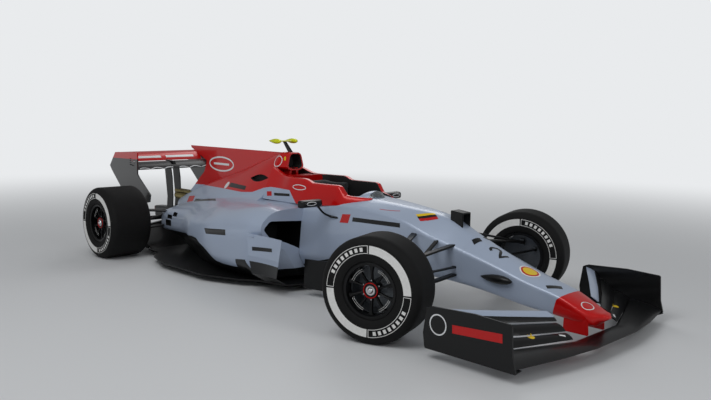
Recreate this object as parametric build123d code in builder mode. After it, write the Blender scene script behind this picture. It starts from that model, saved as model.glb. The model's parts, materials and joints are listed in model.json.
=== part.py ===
from build123d import *
import os
from math import cos, sin, radians

os.makedirs("parts", exist_ok=True)

# Driving dimensions, millimetres and degrees. X runs forward, Y to the car's left, Z up from the ground.
wheelbase = 3520.0
front_overhang = 1190.0
rear_overhang = 765.0
tyre_radius = 335.0
front_tyre_width = 305.0
rear_tyre_width = 405.0
car_width = 2000.0
seat_gap = 0.4
pin_gap = 0.3
running_gap = 6.0

rear_axle = -wheelbase
front_axle_x = (wheelbase + rear_overhang - front_overhang) / 2
front_wheel_y = (car_width - front_tyre_width) / 2
rear_wheel_y = (car_width - rear_tyre_width) / 2

# Steering: the front wheels stand turned to the left, as the car was parked
parked_steer = 19.25
kingpin_offset = 67.5
kingpin_y = front_wheel_y - kingpin_offset
steering_arm = 95.0


def at(x, y, z):
    """Point given by its distance ahead of the front axle."""
    return (front_axle_x + x, y, z)


def station(x):
    """Upright cross plane at a distance ahead of the front axle: local x is Y, local y is Z."""
    return Plane(origin=at(x, 0, 0), x_dir=(0, 1, 0), z_dir=(1, 0, 0))


def side_plane(y):
    """Upright lengthwise plane: local x is the distance ahead of the front axle, local y is Z."""
    return Plane(origin=at(0, y, 0), x_dir=(1, 0, 0), z_dir=(0, -1, 0))


def plan(z):
    """Level plane: local x is the distance ahead of the front axle, local y is Y."""
    return Plane(origin=at(0, 0, z), x_dir=(1, 0, 0), z_dir=(0, 0, 1))


def both_sides(half_points):
    """Closed outline from the points of its left half, listed from the top middle down."""
    return list(half_points) + [(-y, z) for y, z in reversed(half_points)]


def polygon(plane, points, corner=0.0):
    """Face with straight sides, its corners rounded."""
    with BuildSketch(plane) as face:
        with BuildLine():
            Polyline(*points, close=True)
        make_face()
        if corner > 0:
            fillet(face.vertices(), corner)
    return face.sketch


def foil(plane, lead, trail, camber, thickness, edge=3.0):
    """Wing section between two arcs, from its leading to its trailing edge, bowed by its camber."""
    start, end = Vector(*lead), Vector(*trail)
    across = Vector(-(end.Y - start.Y), end.X - start.X).normalized()
    middle = (start + end) * 0.5
    with BuildSketch(plane) as face:
        with BuildLine():
            ThreePointArc(start + across * (edge / 2), middle + across * (camber + thickness / 2),
                          end + across * (edge / 2))
            Line(end + across * (edge / 2), end - across * (edge / 2))
            ThreePointArc(end - across * (edge / 2), middle + across * (camber - thickness / 2),
                          start - across * (edge / 2))
            Line(start - across * (edge / 2), start + across * (edge / 2))
        make_face()
    return face.sketch


def strut_plane(start, end):
    """Plane across a strut at its start, with its long axis fore and aft."""
    run = (Vector(*end) - Vector(*start)).normalized()
    level = Vector(1, 0, 0) - run * run.X
    return Plane(origin=start, x_dir=level.normalized(), z_dir=run)


def span(start, end):
    return (Vector(*end) - Vector(*start)).length


# Chassis and nose outline, one row a cross section: distance ahead of the front axle, then the height and
# half width of the top, the shoulder crease, the lower edge and the keel
wall = 30.0
bulkhead_x = 150.0
nose_rows = [
    # x, top_z, top_half, shoulder_z, shoulder_half, lower_z, lower_half, keel_z, keel_half
    (1062, 240, 60, 222, 96, 168, 100, 150, 60),
    (860, 322, 46, 310, 124, 192, 122, 172, 80),
    (620, 394, 46, 368, 142, 214, 138, 194, 90),
    (380, 486, 48, 438, 160, 250, 152, 228, 100),
    (bulkhead_x, 584, 50, 494, 177, 276, 166, 254, 112),
]
tub_rows = [
    (bulkhead_x, 584, 50, 494, 177, 276, 166, 254, 112),
    (-100, 690, 58, 552, 198, 290, 186, 266, 122),
    (-380, 727, 80, 650, 216, 276, 214, 240, 140),
    (-750, 757, 110, 700, 240, 262, 262, 190, 160),
    (-930, 764, 150, 708, 254, 262, 292, 120, 180),
    (-1300, 704, 225, 640, 288, 270, 330, 62, 210),
    (-1560, 704, 225, 640, 288, 270, 330, 62, 210),
    (-1850, 704, 225, 640, 288, 270, 330, 62, 210),
]


def hull_face(row, grow, corner):
    x, top_z, top_half, shoulder_z, shoulder_half, lower_z, lower_half, keel_z, keel_half = row
    half = [(top_half + grow, top_z + grow), (shoulder_half + grow, shoulder_z),
            (lower_half + grow, lower_z), (keel_half + grow, keel_z - grow)]
    return polygon(station(x), both_sides(half), corner)


def hull(rows, grow=0.0, corner=16.0):
    return [hull_face(row, grow, corner) for row in rows]


# Chassis tub: carbon shell, hollow from the pedals to the fuel bay, open over the cockpit
opening_front_x = -905.0
opening_rear_x = -1540.0
rack_x = steering_arm * cos(radians(parked_steer))
rack_z = 378.0
rack_tunnel = (54.0, 46.0)
rod_chord = 30.0
rod_thickness = 12.0
bush_y = 115.0
with BuildPart() as chassis_tub:
    loft(sections=hull(tub_rows), ruled=True)
    loft(sections=hull(tub_rows[1:7], -wall), ruled=True, mode=Mode.SUBTRACT)
    with BuildSketch(plan(480)):
        with BuildLine():
            Polyline((opening_front_x, -112), (opening_front_x - 110, -176), (opening_rear_x + 60, -190),
                     (opening_rear_x, -150), (opening_rear_x, 150), (opening_rear_x + 60, 190),
                     (opening_front_x - 110, 176), (opening_front_x, 112), close=True)
        make_face()
        fillet(vertices(), 30)
    extrude(amount=400, mode=Mode.SUBTRACT)
    with BuildSketch(side_plane(400)):
        with Locations((rack_x, rack_z)):
            SlotOverall(rod_chord + 2 * pin_gap, rod_thickness + 2 * pin_gap)
    extrude(amount=800, mode=Mode.SUBTRACT)
    for side in (1, -1):
        with BuildSketch(side_plane(side * bush_y)):
            with Locations((rack_x, rack_z)):
                Rectangle(*rack_tunnel)
        extrude(amount=-side * 300, mode=Mode.SUBTRACT)
chassis_tub.part.label = "chassis_tub"
export_step(chassis_tub.part, "parts/chassis_tub.step")

# The same outline a hair larger, for the pieces that are trimmed to the chassis skin
with BuildPart() as tub_skin:
    loft(sections=hull(tub_rows, seat_gap), ruled=True)

# Front wing elements, one row a station: distance from the centre line, leading edge, trailing edge
foot_z = 78.0
wing_half_span = 900.0
wing_plate = 12.0
wing_tip_y = wing_half_span - wing_plate - seat_gap
main_plane_rows = [
    # y, lead_x, lead_z, trail_x, trail_z, camber, thickness
    (250, front_overhang, 92, 1050, 100, 0, 24),
    (520, 1150, 88, 960, 106, -6, 22),
    (wing_tip_y, 1066, 84, 820, 108, -10, 20),
]
lower_flap_rows = [
    [(270, 1046, 116, 990, 142, -5, 9), (560, 950, 118, 880, 150, -7, 10), (wing_tip_y, 826, 120, 702, 160, -9, 10)],
    [(270, 996, 154, 930, 190, -6, 9), (560, 874, 160, 790, 204, -8, 10), (wing_tip_y, 706, 172, 594, 222, -9, 10)],
]
top_flap_rows = [(270, 935, 202, 862, 248, -6, 8), (560, 786, 216, 690, 268, -9, 9),
                 (wing_tip_y, 598, 234, 488, 296, -11, 9)]
centre_half = 250.0


def wing_sections(rows, grow=0.0):
    return [foil(side_plane(row[0]), row[1:3], row[3:5], row[5], row[6] + 2 * grow, 3 + 2 * grow) for row in rows]


# Nose cone: the long nose with the narrow tip and the two pylons that carry the front wing
nose_tip_x = 1135.0
with BuildPart() as nose_cone:
    loft(sections=hull(nose_rows), ruled=True)
    tip = [polygon(station(1062), both_sides([(52, 246), (66, 222), (58, 186)]), 12),
           polygon(station(nose_tip_x), both_sides([(34, 232), (44, 214), (38, 192)]), 12)]
    loft(sections=tip, ruled=True)
    for side in (1, -1):
        pylon = [polygon(plan(z), [(1052, side * 84), (1052, side * 104), (880, side * 112), (880, side * 92)], 6)
                 for z in (foot_z, 205)]
        loft(sections=pylon, ruled=True)
    extrude(wing_sections(main_plane_rows[:1], seat_gap)[0], amount=2 * centre_half, mode=Mode.SUBTRACT)
    with BuildSketch(plan(0)):
        with Locations((970, 0)):
            Rectangle(300, 400)
    extrude(amount=main_plane_rows[0][2] + 2, mode=Mode.SUBTRACT)
nose_cone.part.label = "nose_cone"
export_step(nose_cone.part, "parts/nose_cone.step")
with BuildPart() as nose_skin:
    loft(sections=hull(nose_rows, seat_gap), ruled=True)

# Main plane: flat centre section and two outer wings in one piece
with BuildPart() as front_wing_main_plane:
    extrude(wing_sections(main_plane_rows[:1])[0], amount=2 * centre_half)
    loft(sections=wing_sections(main_plane_rows), ruled=True)
    mirror(about=Plane.XZ)
front_wing_main_plane.part.label = "front_wing_main_plane"
export_step(front_wing_main_plane.part, "parts/front_wing_main_plane.step")

with BuildPart() as front_wing_lower_flaps:
    for rows in lower_flap_rows:
        loft(sections=wing_sections(rows), ruled=True)
    mirror(about=Plane.XZ)
front_wing_lower_flaps.part.label = "front_wing_lower_flaps"
export_step(front_wing_lower_flaps.part, "parts/front_wing_lower_flaps.step")

with BuildPart() as front_wing_top_flaps:
    loft(sections=wing_sections(top_flap_rows), ruled=True)
    mirror(about=Plane.XZ)
front_wing_top_flaps.part.label = "front_wing_top_flaps"
export_step(front_wing_top_flaps.part, "parts/front_wing_top_flaps.step")

# End plates of the front wing, each with the foot that runs along its lower edge
with BuildPart() as front_wing_end_plates:
    with BuildSketch(side_plane(wing_half_span)):
        with BuildLine():
            Polyline((1076, foot_z - 18), (1052, 150), (1041, 322), (800, 332), (500, 316), (462, 300),
                     (440, 150), (452, foot_z - 18), close=True)
        make_face()
        fillet(vertices(), 14)
    extrude(amount=wing_plate)
    with BuildSketch(plan(foot_z - 18)):
        with BuildLine():
            Polyline((1072, wing_half_span), (1060, wing_half_span - 80), (470, wing_half_span - 80),
                     (456, wing_half_span), close=True)
        make_face()
    extrude(amount=5)
    mirror(about=Plane.XZ)
front_wing_end_plates.part.label = "front_wing_end_plates"
export_step(front_wing_end_plates.part, "parts/front_wing_end_plates.step")

# Air duct that stands on the nose where the chassis steps down, and the leaf shaped camera pods on its sides
duct_half = 46.0
duct_wall = 7.0
duct_front_x, duct_rear_x = 51.0, -56.0
duct_top_z = 736.0
pod_y, pod_z = 166.0, 352.0
pod_profile = [(300, 0), (360, 20), (440, 30), (510, 21), (545, 0)]
with BuildPart() as nose_fittings:
    with BuildSketch(side_plane(duct_half)):
        with BuildLine():
            Polyline((duct_rear_x, 590), (duct_front_x, 560), (duct_front_x, duct_top_z - 6),
                     (duct_rear_x, duct_top_z + 4), close=True)
        make_face()
    extrude(amount=2 * duct_half)
    with BuildSketch(station(duct_rear_x + duct_wall)):
        with Locations((0, duct_top_z - 100)):
            Rectangle(2 * (duct_half - duct_wall), 200 - 2 * duct_wall - 12)
    extrude(amount=200, mode=Mode.SUBTRACT)
    for side in (1, -1):
        with BuildSketch(side_plane(side * pod_y)):
            with BuildLine():
                Polyline(*[(x, pod_z + r) for x, r in pod_profile], close=True)
            make_face()
        revolve(axis=Axis(at(0, side * pod_y, pod_z), (1, 0, 0)))
    add(nose_skin.part, mode=Mode.SUBTRACT)
    add(tub_skin.part, mode=Mode.SUBTRACT)
nose_fittings.part.label = "nose_fittings"
export_step(nose_fittings.part, "parts/nose_fittings.step")

# Floor, plank and diffuser
floor_z = 50.0
floor_thickness = 12.0
floor_top = floor_z + floor_thickness
diffuser_x = rear_axle + 180
diffuser_end_x = rear_axle - 360
diffuser_rise = 165.0
floor_half = [
    # x, half width
    (-480, 130), (-560, 235), (-1180, 245), (-1300, 520), (-1560, 570), (-1700, 670), (-2050, 798),
    (rear_axle + 820, 798), (rear_axle + 520, 700), (rear_axle + 380, 565), (diffuser_x, 565),
]
with BuildPart() as floor:
    with BuildSketch(plan(floor_z)):
        with BuildLine():
            Polyline(*floor_half, *[(x, -y) for x, y in reversed(floor_half)], close=True)
        make_face()
    extrude(amount=floor_thickness)
floor.part.label = "floor"
export_step(floor.part, "parts/floor.step")

plank_half = 150.0
plank_thickness = 12.0
with BuildPart() as plank:
    with BuildSketch(plan(floor_z - plank_thickness)):
        with BuildLine():
            Polyline((-500, -60), (-590, -plank_half), (diffuser_x, -plank_half), (diffuser_x, plank_half),
                     (-590, plank_half), (-500, 60), close=True)
        make_face()
    extrude(amount=plank_thickness)
plank.part.label = "plank"
export_step(plank.part, "parts/plank.step")

diffuser_half = 525.0
diffuser_skin = 10.0


def diffuser_top(x):
    return floor_top + (diffuser_x - x) / (diffuser_x - diffuser_end_x) * diffuser_rise


with BuildPart() as diffuser:
    with BuildSketch(side_plane(diffuser_half)):
        with BuildLine():
            Polyline((diffuser_x, floor_z), (diffuser_end_x, floor_z + diffuser_rise),
                     (diffuser_end_x, floor_top + diffuser_rise), (diffuser_x, floor_top), close=True)
        make_face()
    extrude(amount=2 * diffuser_half)
    strake_ys = (0.2, 0.45, 0.72, 1.0)
    for share in strake_ys:
        with BuildSketch(side_plane(share * diffuser_half)):
            with BuildLine():
                Polyline((diffuser_x - 60, floor_z + 22), (diffuser_end_x + 12, floor_z + diffuser_rise + 4),
                         (diffuser_end_x + 30, floor_z + 30), (diffuser_x - 80, floor_z), close=True)
            make_face()
        extrude(amount=diffuser_skin)
    mirror(about=Plane.XZ)
diffuser.part.label = "diffuser"
export_step(diffuser.part, "parts/diffuser.step")

# Engine as one plain block, and the gearbox with the crash structure behind it
engine_half = 240.0
engine_front_x = tub_rows[-1][0]
engine_rear_x = -2500.0
with BuildPart() as engine_block:
    with BuildSketch(station(engine_rear_x)):
        with Locations((0, floor_top + 225)):
            Rectangle(2 * engine_half, 450)
    extrude(amount=engine_front_x - engine_rear_x)
    chamfer(engine_block.edges().filter_by(Axis.X).group_by(Axis.Z)[-1], 90)
engine_block.part.label = "engine_block"
export_step(engine_block.part, "parts/engine_block.step")

tail_x = rear_axle - 600
gearbox_rows = [
    # x, top_z, half width, bottom_z
    (engine_rear_x, 400, 110, floor_top), (rear_axle + 140, 410, 100, 96),
    (rear_axle - 80, 402, 74, 230), (tail_x, 372, 48, 262),
]
starter_r = 18.0
starter_depth = 120.0
starter_z = 290.0


def gearbox_faces(grow=0.0):
    return [polygon(station(x), both_sides([(half + grow, top + grow), (half + grow, bottom - grow)]), 12)
            for x, top, half, bottom in gearbox_rows]


with BuildPart() as gearbox_skin:
    loft(sections=gearbox_faces(seat_gap), ruled=True)
with BuildPart() as gearbox:
    loft(sections=gearbox_faces(), ruled=True)
    with BuildSketch(station(tail_x)):
        with Locations((0, starter_z)):
            Circle(starter_r)
    extrude(amount=starter_depth, mode=Mode.SUBTRACT)
gearbox.part.label = "gearbox"
export_step(gearbox.part, "parts/gearbox.step")

# Sidepods: open at the slanted inlet, undercut behind the vane, drawn in to the tail, one row a cross section
inner_y = 256.0
mouth_x = -1390.0
mouth_outer_y = 690.0
mouth_slant = 5.0
inlet_depth = 310.0
pod_rows = [
    # x, inner_y, inner_top_z, then outline points out and down: y, z
    (mouth_x, inner_y, 650, (560, 640), (668, 560), (mouth_outer_y, 490), (640, 410), (470, 330), (330, 100)),
    (-1560, inner_y, 668, (560, 654), (700, 566), (728, 470), (718, 350), (700, 205), (560, floor_top + 6)),
    (-2000, inner_y, 660, (500, 622), (686, 520), (716, 420), (712, 280), (690, 160), (560, floor_top + 6)),
    (-2500, inner_y, 616, (400, 556), (596, 450), (622, 380), (618, 262), (540, 216), (470, floor_top + 6)),
    (rear_axle + 570, 200, 560, (310, 500), (412, 446), (436, 390), (434, 290), (410, 250), (300, floor_top + 6)),
    (rear_axle + 90, 128, 470, (230, 440), (345, 411), (367, 375), (367, 255), (345, 229), (200, 216)),
]
inlet_inner_y = 270.0
inlet_rows = [
    # distance behind the mouth, then inlet outline points: y, z
    (-4, (inlet_inner_y, 540), (444, 552), (600, 562), (661, 500), (590, 416), (480, 392), (372, 344),
     (inlet_inner_y, 293)),
    (inlet_depth, (inlet_inner_y, 492), (440, 506), (560, 516), (628, 465), (590, 400), (470, 352), (372, 320),
     (inlet_inner_y, 290)),
]
core_x = mouth_x - inlet_depth
outlet_start_y, outlet_floor_y = 440.0, 352.0
outlets = [
    # corners of each hot air outlet in the flank of the tail: distance ahead of the rear axle, z
    ((352, 428), (446, 428), (446, 392), (352, 388)),
    ((228, 392), (340, 394), (340, 356), (236, 354)),
    ((190, 340), (322, 344), (318, 284), (196, 280)),
]


def mouth_plane(side, behind=0.0):
    """The slanted plane of a sidepod's mouth: local x is Y, local y is Z."""
    slant = radians(mouth_slant)
    reach = mouth_outer_y / cos(slant)
    x_dir = Vector(-sin(slant), side * cos(slant), 0)
    origin = Vector(*at(mouth_x - behind, side * mouth_outer_y, 0)) - x_dir * reach
    return Plane(origin=origin, x_dir=x_dir * side, z_dir=Vector(cos(slant), side * sin(slant), 0))


def pod_faces(side):
    faces = []
    for x, inside, top, *outline in pod_rows:
        points = [(inside, top)] + outline + [(inside, outline[-1][1])]
        plane = mouth_plane(side) if x == mouth_x else station(x)
        faces.append(polygon(plane, [(side * y, z) for y, z in points]))
    return faces


pods = {}
for side, name in ((1, "left_sidepod"), (-1, "right_sidepod")):
    with BuildPart() as sidepod:
        loft(sections=pod_faces(side), ruled=True)
        planes = (mouth_plane(side, inlet_rows[0][0]), station(core_x))
        inlet = [polygon(plane, [(side * y, z) for y, z in outline], 10)
                 for plane, (behind, *outline) in zip(planes, inlet_rows)]
        loft(sections=inlet, ruled=True, mode=Mode.SUBTRACT)
        for outline in outlets:
            pocket = polygon(side_plane(side * outlet_start_y), [(rear_axle + x, z) for x, z in outline])
            extrude(pocket, amount=side * (outlet_start_y - outlet_floor_y), mode=Mode.SUBTRACT)
        add(tub_skin.part, mode=Mode.SUBTRACT)
    sidepod.part.label = name
    export_step(sidepod.part, f"parts/{name}.step")
    pods[side] = sidepod.part

# Radiator cores at the back of the inlets
with BuildPart() as radiators:
    for side in (1, -1):
        x, *outline = inlet_rows[1]
        middle_y = sum(y for y, z in outline) / len(outline)
        middle_z = sum(z for y, z in outline) / len(outline)
        smaller = [(side * (middle_y + (y - middle_y) * 0.88), middle_z + (z - middle_z) * 0.88) for y, z in outline]
        extrude(polygon(station(core_x + seat_gap), smaller, 10), amount=40)
    add(tub_skin.part, mode=Mode.SUBTRACT)
radiators.part.label = "radiators"
export_step(radiators.part, "parts/radiators.step")

# Engine cover: from the roll hoop back along the spine, with the shark fin above it
cover_front_x = -1905.0
cover_rows = [
    # x, spine_z, spine_half, shoulder_z, shoulder_half, hip_z, hip_half, base_half, base_z
    (cover_front_x, 1050, 78, 930, 128, 760, 236, inner_y, 560),
    (-2150, 985, 56, 850, 150, 720, 236, inner_y, 540),
    (-2500, 872, 40, 760, 132, 650, 222, inner_y, floor_top + 452),
    (rear_axle + 570, 742, 30, 650, 108, 590, 168, 200, 440),
    (rear_axle + 90, 588, 24, 530, 84, 490, 112, 128, 425),
    (rear_axle - 80, 520, 20, 486, 60, 464, 76, 80, 414),
]
leaf_rear, leaf_front = (-2235.0, 814.0), (-1937.0, 836.0)
leaf_top, leaf_foot = (-2092.0, 857.0), (-2092.0, 796.0)
leaf_floor_y = 130.0
fin_half = 5.0
fin_outline = [(cover_front_x, 1046), (rear_axle + 61, 1053), (rear_axle + 75, 1030), (rear_axle + 352, 912),
               (rear_axle + 314, 812), (rear_axle + 222, 734), (rear_axle + 89, 622), (rear_axle - 47, 528),
               (rear_axle + 20, 500), (-2500, 840), (cover_front_x, 1000)]


def cover_face(row):
    x, spine_z, spine_half, shoulder_z, shoulder_half, hip_z, hip_half, base_half, base_z = row
    half = [(spine_half, spine_z), (shoulder_half, shoulder_z), (hip_half - seat_gap, hip_z),
            (base_half - seat_gap, hip_z - 40), (base_half - seat_gap, base_z)]
    return polygon(station(x), both_sides(half), 6)


with BuildPart() as engine_cover:
    loft(sections=[cover_face(row) for row in cover_rows], ruled=True)
    with BuildSketch(side_plane(fin_half)):
        with BuildLine():
            Polyline(*fin_outline, close=True)
        make_face()
    extrude(amount=2 * fin_half)
    for side in (1, -1):
        with BuildSketch(side_plane(side * 300)):
            with BuildLine():
                ThreePointArc(leaf_rear, leaf_top, leaf_front)
                ThreePointArc(leaf_front, leaf_foot, leaf_rear)
            make_face()
        extrude(amount=side * (300 - leaf_floor_y), mode=Mode.SUBTRACT)
engine_cover.part.label = "engine_cover"
export_step(engine_cover.part, "parts/engine_cover.step")

# Roll hoop with the engine air intake above the driver, open at the front
intake_top_z = 1058.0
intake_front_x = cover_front_x + 105
intake_rows = [
    # x, bottom_z, bottom_half, middle_z, middle_half, top_z, top_half
    (intake_front_x, 903, 58, 928, 98, 1056, 64),
    (cover_front_x + seat_gap, 896, 66, 926, 122, intake_top_z, 76),
]
intake_mouth = [(intake_front_x + 2, 918, 46, 938, 78, 1045, 52), (intake_front_x - 88, 936, 34, 952, 54, 1030, 38)]


def intake_face(row):
    x, bottom_z, bottom_half, middle_z, middle_half, top_z, top_half = row
    return polygon(station(x), both_sides([(top_half, top_z), (middle_half, middle_z), (bottom_half, bottom_z)]), 13)


with BuildPart() as roll_hoop_intake:
    loft(sections=[intake_face(row) for row in intake_rows], ruled=True)
    loft(sections=[intake_face(row) for row in intake_mouth], ruled=True, mode=Mode.SUBTRACT)
    for side in (1, -1):
        leg = [polygon(station(cover_front_x + seat_gap + reach), [(side * 18, 925), (side * 44, 925),
                       (side * 70, 704 + seat_gap), (side * 40, 704 + seat_gap)], 6) for reach in (0, 90)]
        loft(sections=leg, ruled=True)
    with BuildSketch(station(cover_front_x + seat_gap)):
        with BuildLine():
            Polyline((-126, 704 + seat_gap), (-210, 704 + seat_gap), (-210, 760), (-108, 925), (108, 925),
                     (210, 760), (210, 704 + seat_gap), (126, 704 + seat_gap), close=True)
        make_face()
    extrude(amount=16)
roll_hoop_intake.part.label = "roll_hoop_intake"
export_step(roll_hoop_intake.part, "parts/roll_hoop_intake.step")

# Cockpit surround: the raised rim round the driver's opening, and the headrest pad inside it
surround_rows = [
    # x, outer_half, inner_half, top_z, base_z
    (-935, 226, 180, 772, 700),
    (-1010, 236, 190, 848, 690),
    (-1300, 246, 196, 846, 680),
    (-1400, 250, 200, 874, 680),
    (-1560, 244, 200, 872, 680),
    (-1700, 190, 150, 866, 700),
]
with BuildPart() as cockpit_surround:
    for side in (1, -1):
        wall_faces = [polygon(station(x), [(side * inner, base), (side * (outer + 12), base),
                              (side * outer, top - 26), (side * (outer - 20), top), (side * inner, top)])
                      for x, outer, inner, top, base in surround_rows]
        loft(sections=wall_faces, ruled=True)
    back = [polygon(station(x), both_sides([(half, 866), (half, 712)])) for x, half in ((-1640, 173), (-1700, 152))]
    loft(sections=back, ruled=True)
    add(tub_skin.part, mode=Mode.SUBTRACT)
cockpit_surround.part.label = "cockpit_surround"
export_step(cockpit_surround.part, "parts/cockpit_surround.step")

headrest_base = tub_rows[-1][1] + seat_gap
with BuildPart() as headrest:
    with BuildSketch(plan(headrest_base)):
        with BuildLine():
            Polyline((-1330, 195), (-1330, 150), (-1500, 140), (-1545, 90), (-1545, -90), (-1500, -140),
                     (-1330, -150), (-1330, -195), (-1560, -199), (-1639, -170), (-1639, 170), (-1560, 199), close=True)
        make_face()
    extrude(amount=120)
    fillet(headrest.faces().sort_by(Axis.Z)[-1].edges(), 10)
    with BuildSketch(plan(headrest_base - 1)):
        with BuildLine():
            Polyline((-1641, -168), (-1563, -197.5), (-1300, -193.5), (-1300, 193.5), (-1563, 197.5), (-1641, 168),
                     close=True)
        make_face()
    extrude(amount=200, mode=Mode.INTERSECT)
headrest.part.label = "headrest"
export_step(headrest.part, "parts/headrest.step")

# The driver's seat: a reclined carbon shell in the tub
seat_floor_z = tub_rows[5][7] + wall + seat_gap
with BuildPart() as seat:
    with BuildSketch(side_plane(170)):
        with BuildLine():
            Polyline((-1070, 134), (-1070, seat_floor_z + 90), (-1180, seat_floor_z + 50),
                     (-1330, seat_floor_z + 60), (-1520, 600), (-1545, 596), (-1370, seat_floor_z),
                     (-1300, seat_floor_z), close=True)
        make_face()
    extrude(amount=340)
    with BuildSketch(side_plane(170)):
        with BuildLine():
            Polyline((-1100, seat_floor_z + 60), (-1340, seat_floor_z + 60), (-1480, 470), (-1400, 500),
                     (-1230, seat_floor_z + 200), (-1110, seat_floor_z + 110), close=True)
        make_face()
    extrude(amount=14)
    with BuildSketch(side_plane(-156)):
        with BuildLine():
            Polyline((-1100, seat_floor_z + 60), (-1340, seat_floor_z + 60), (-1480, 470), (-1400, 500),
                     (-1230, seat_floor_z + 200), (-1110, seat_floor_z + 110), close=True)
        make_face()
    extrude(amount=14)
    add(chassis_tub.part, mode=Mode.SUBTRACT)
seat.part.label = "seat"
export_step(seat.part, "parts/seat.step")

# Steering wheel on its raked column, which is part of the windscreen's dash frame
wheel_rake = 22.0
wheel_centre = (-1030.0, 640.0)
column_r = 17.0
wheel_thickness = 26.0
steering_ratio = 9.0
rake, turned = radians(wheel_rake), radians(parked_steer * steering_ratio)
steer_plane = Plane(origin=at(wheel_centre[0], 0, wheel_centre[1]),
                    x_dir=(-sin(turned) * sin(rake), cos(turned), -sin(turned) * cos(rake)),
                    z_dir=(-cos(rake), 0, sin(rake)))
with BuildPart() as steering_wheel:
    with BuildSketch(steer_plane):
        RectangleRounded(250, 150, 30)
        with Locations((0, -80)):
            Rectangle(110, 40, mode=Mode.SUBTRACT)
        with Locations((0, 84)):
            Rectangle(120, 30, mode=Mode.SUBTRACT)
    extrude(amount=wheel_thickness)
    with BuildSketch(steer_plane.offset(wheel_thickness)):
        with Locations((-105, 0), (105, 0)):
            RectangleRounded(32, 110, 12)
        Circle(24)
    extrude(amount=12)
steering_wheel.part.label = "steering_wheel"
export_step(steering_wheel.part, "parts/steering_wheel.step")

with BuildPart() as dash:
    with BuildSketch(steer_plane.offset(-seat_gap)):
        Circle(column_r)
    extrude(amount=-150)
    with BuildSketch(station(-905)):
        with BuildLine():
            Polyline((-110, 742), (-235, 712), (-240, 640), (240, 640), (235, 712), (110, 742), close=True)
        make_face()
    extrude(amount=12)
    with BuildSketch(side_plane(10)):
        with BuildLine():
            Polyline((-905, 700), (-905, 640), (-925, 600), (-940, 600), (-925, 660), (-925, 700), close=True)
        make_face()
    extrude(amount=20)
    add(chassis_tub.part, mode=Mode.SUBTRACT)
dash.part.label = "dash"
export_step(dash.part, "parts/dash.step")

# Windscreen: a low curved sheet ahead of the opening
with BuildPart() as windscreen:
    screen = [foil(plan(z), (front, 0), (rear, half), 10, 4, 4) for front, rear, half, z in
              ((-748, -890, 150, 740), (-790, -905, 120, 806))]
    loft(sections=screen, ruled=True)
    mirror(about=Plane.XZ)
    add(tub_skin.part, mode=Mode.SUBTRACT)
windscreen.part.label = "windscreen"
export_step(windscreen.part, "parts/windscreen.step")

# Mirrors on curved stalks from the tub's shoulders
mirror_x, mirror_y, mirror_z = -1080.0, 447.0, 717.0
mirror_width, mirror_height, mirror_reach = 214.0, 58.0, 62.0
stalk_points = [(-968, 246, 603), (-1036, 284, 612), (-1056, 340, 640), (-1062, 396, 694)]
stalk_chords = [(30, 22), (26, 16), (26, 15)]
with BuildPart() as mirrors:
    with BuildSketch(station(mirror_x - 24)):
        with Locations((mirror_y, mirror_z)):
            RectangleRounded(mirror_width, mirror_height, 18)
    with BuildSketch(station(mirror_x - 24 + mirror_reach)):
        with Locations((mirror_y, mirror_z)):
            RectangleRounded(mirror_width * 0.7, mirror_height * 0.6, 12)
    loft()
    ends = [at(*point) for point in stalk_points]
    for start, end, (chord, thickness) in zip(ends, ends[1:], stalk_chords):
        with BuildSketch(strut_plane(start, end)):
            SlotOverall(chord, thickness)
        extrude(amount=span(start, end))
        with BuildPart(mode=Mode.PRIVATE) as knee:
            with Locations(end):
                Sphere(thickness / 2)
        add(knee.part)
    mirror(about=Plane.XZ)
    add(tub_skin.part, mode=Mode.SUBTRACT)
mirrors.part.label = "mirrors"
export_step(mirrors.part, "parts/mirrors.step")

# Roof camera: two teardrop pods joined by a flat bar, on a stalk that leans back over the intake
camera_x, camera_z = -1950.0, 1150.0
camera_pod_y = 92.0
camera_profile = [(-104, 0), (-50, 15), (0, 22), (35, 20), (58, 11), (66, 0)]
camera_bar, camera_bar_z = 74.0, 12.0
with BuildPart() as roof_camera:
    for side in (1, -1):
        with BuildSketch(side_plane(side * camera_pod_y)):
            with BuildLine():
                Polyline(*[(camera_x + x, camera_z + r) for x, r in camera_profile], close=True)
            make_face()
        revolve(axis=Axis(at(camera_x, side * camera_pod_y, camera_z), (1, 0, 0)))
    with BuildSketch(side_plane(camera_pod_y)):
        with Locations((camera_x, camera_z)):
            SlotOverall(camera_bar, camera_bar_z)
    extrude(amount=2 * camera_pod_y)
    with BuildSketch(side_plane(9)):
        with BuildLine():
            Polyline((-1836, intake_top_z + seat_gap), (-1898, intake_top_z + seat_gap),
                     (camera_x - 20, camera_z - 2), (camera_x + 22, camera_z - 2), close=True)
        make_face()
    extrude(amount=18)
roof_camera.part.label = "roof_camera"
export_step(roof_camera.part, "parts/roof_camera.step")

# Bargeboards beside the tub and the upright vanes at the sidepod shoulders
with BuildPart() as bargeboards:
    board_rows = [
        # z, lead_x, lead_y, trail_x, trail_y, bow
        [(floor_top + seat_gap, -560, 225, -1130, 470, -46), (300, -640, 270, -1080, 500, -40)],
        [(floor_top + seat_gap, -800, 236, -1165, 236, 40), (200, -850, 300, -1150, 330, 20)],
    ]
    for rows in board_rows:
        loft(sections=[foil(plan(z), (lx, ly), (tx, ty), bow, 7, 4) for z, lx, ly, tx, ty, bow in rows], ruled=True)
    mirror(about=Plane.XZ)
bargeboards.part.label = "bargeboards"
export_step(bargeboards.part, "parts/bargeboards.step")

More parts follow.
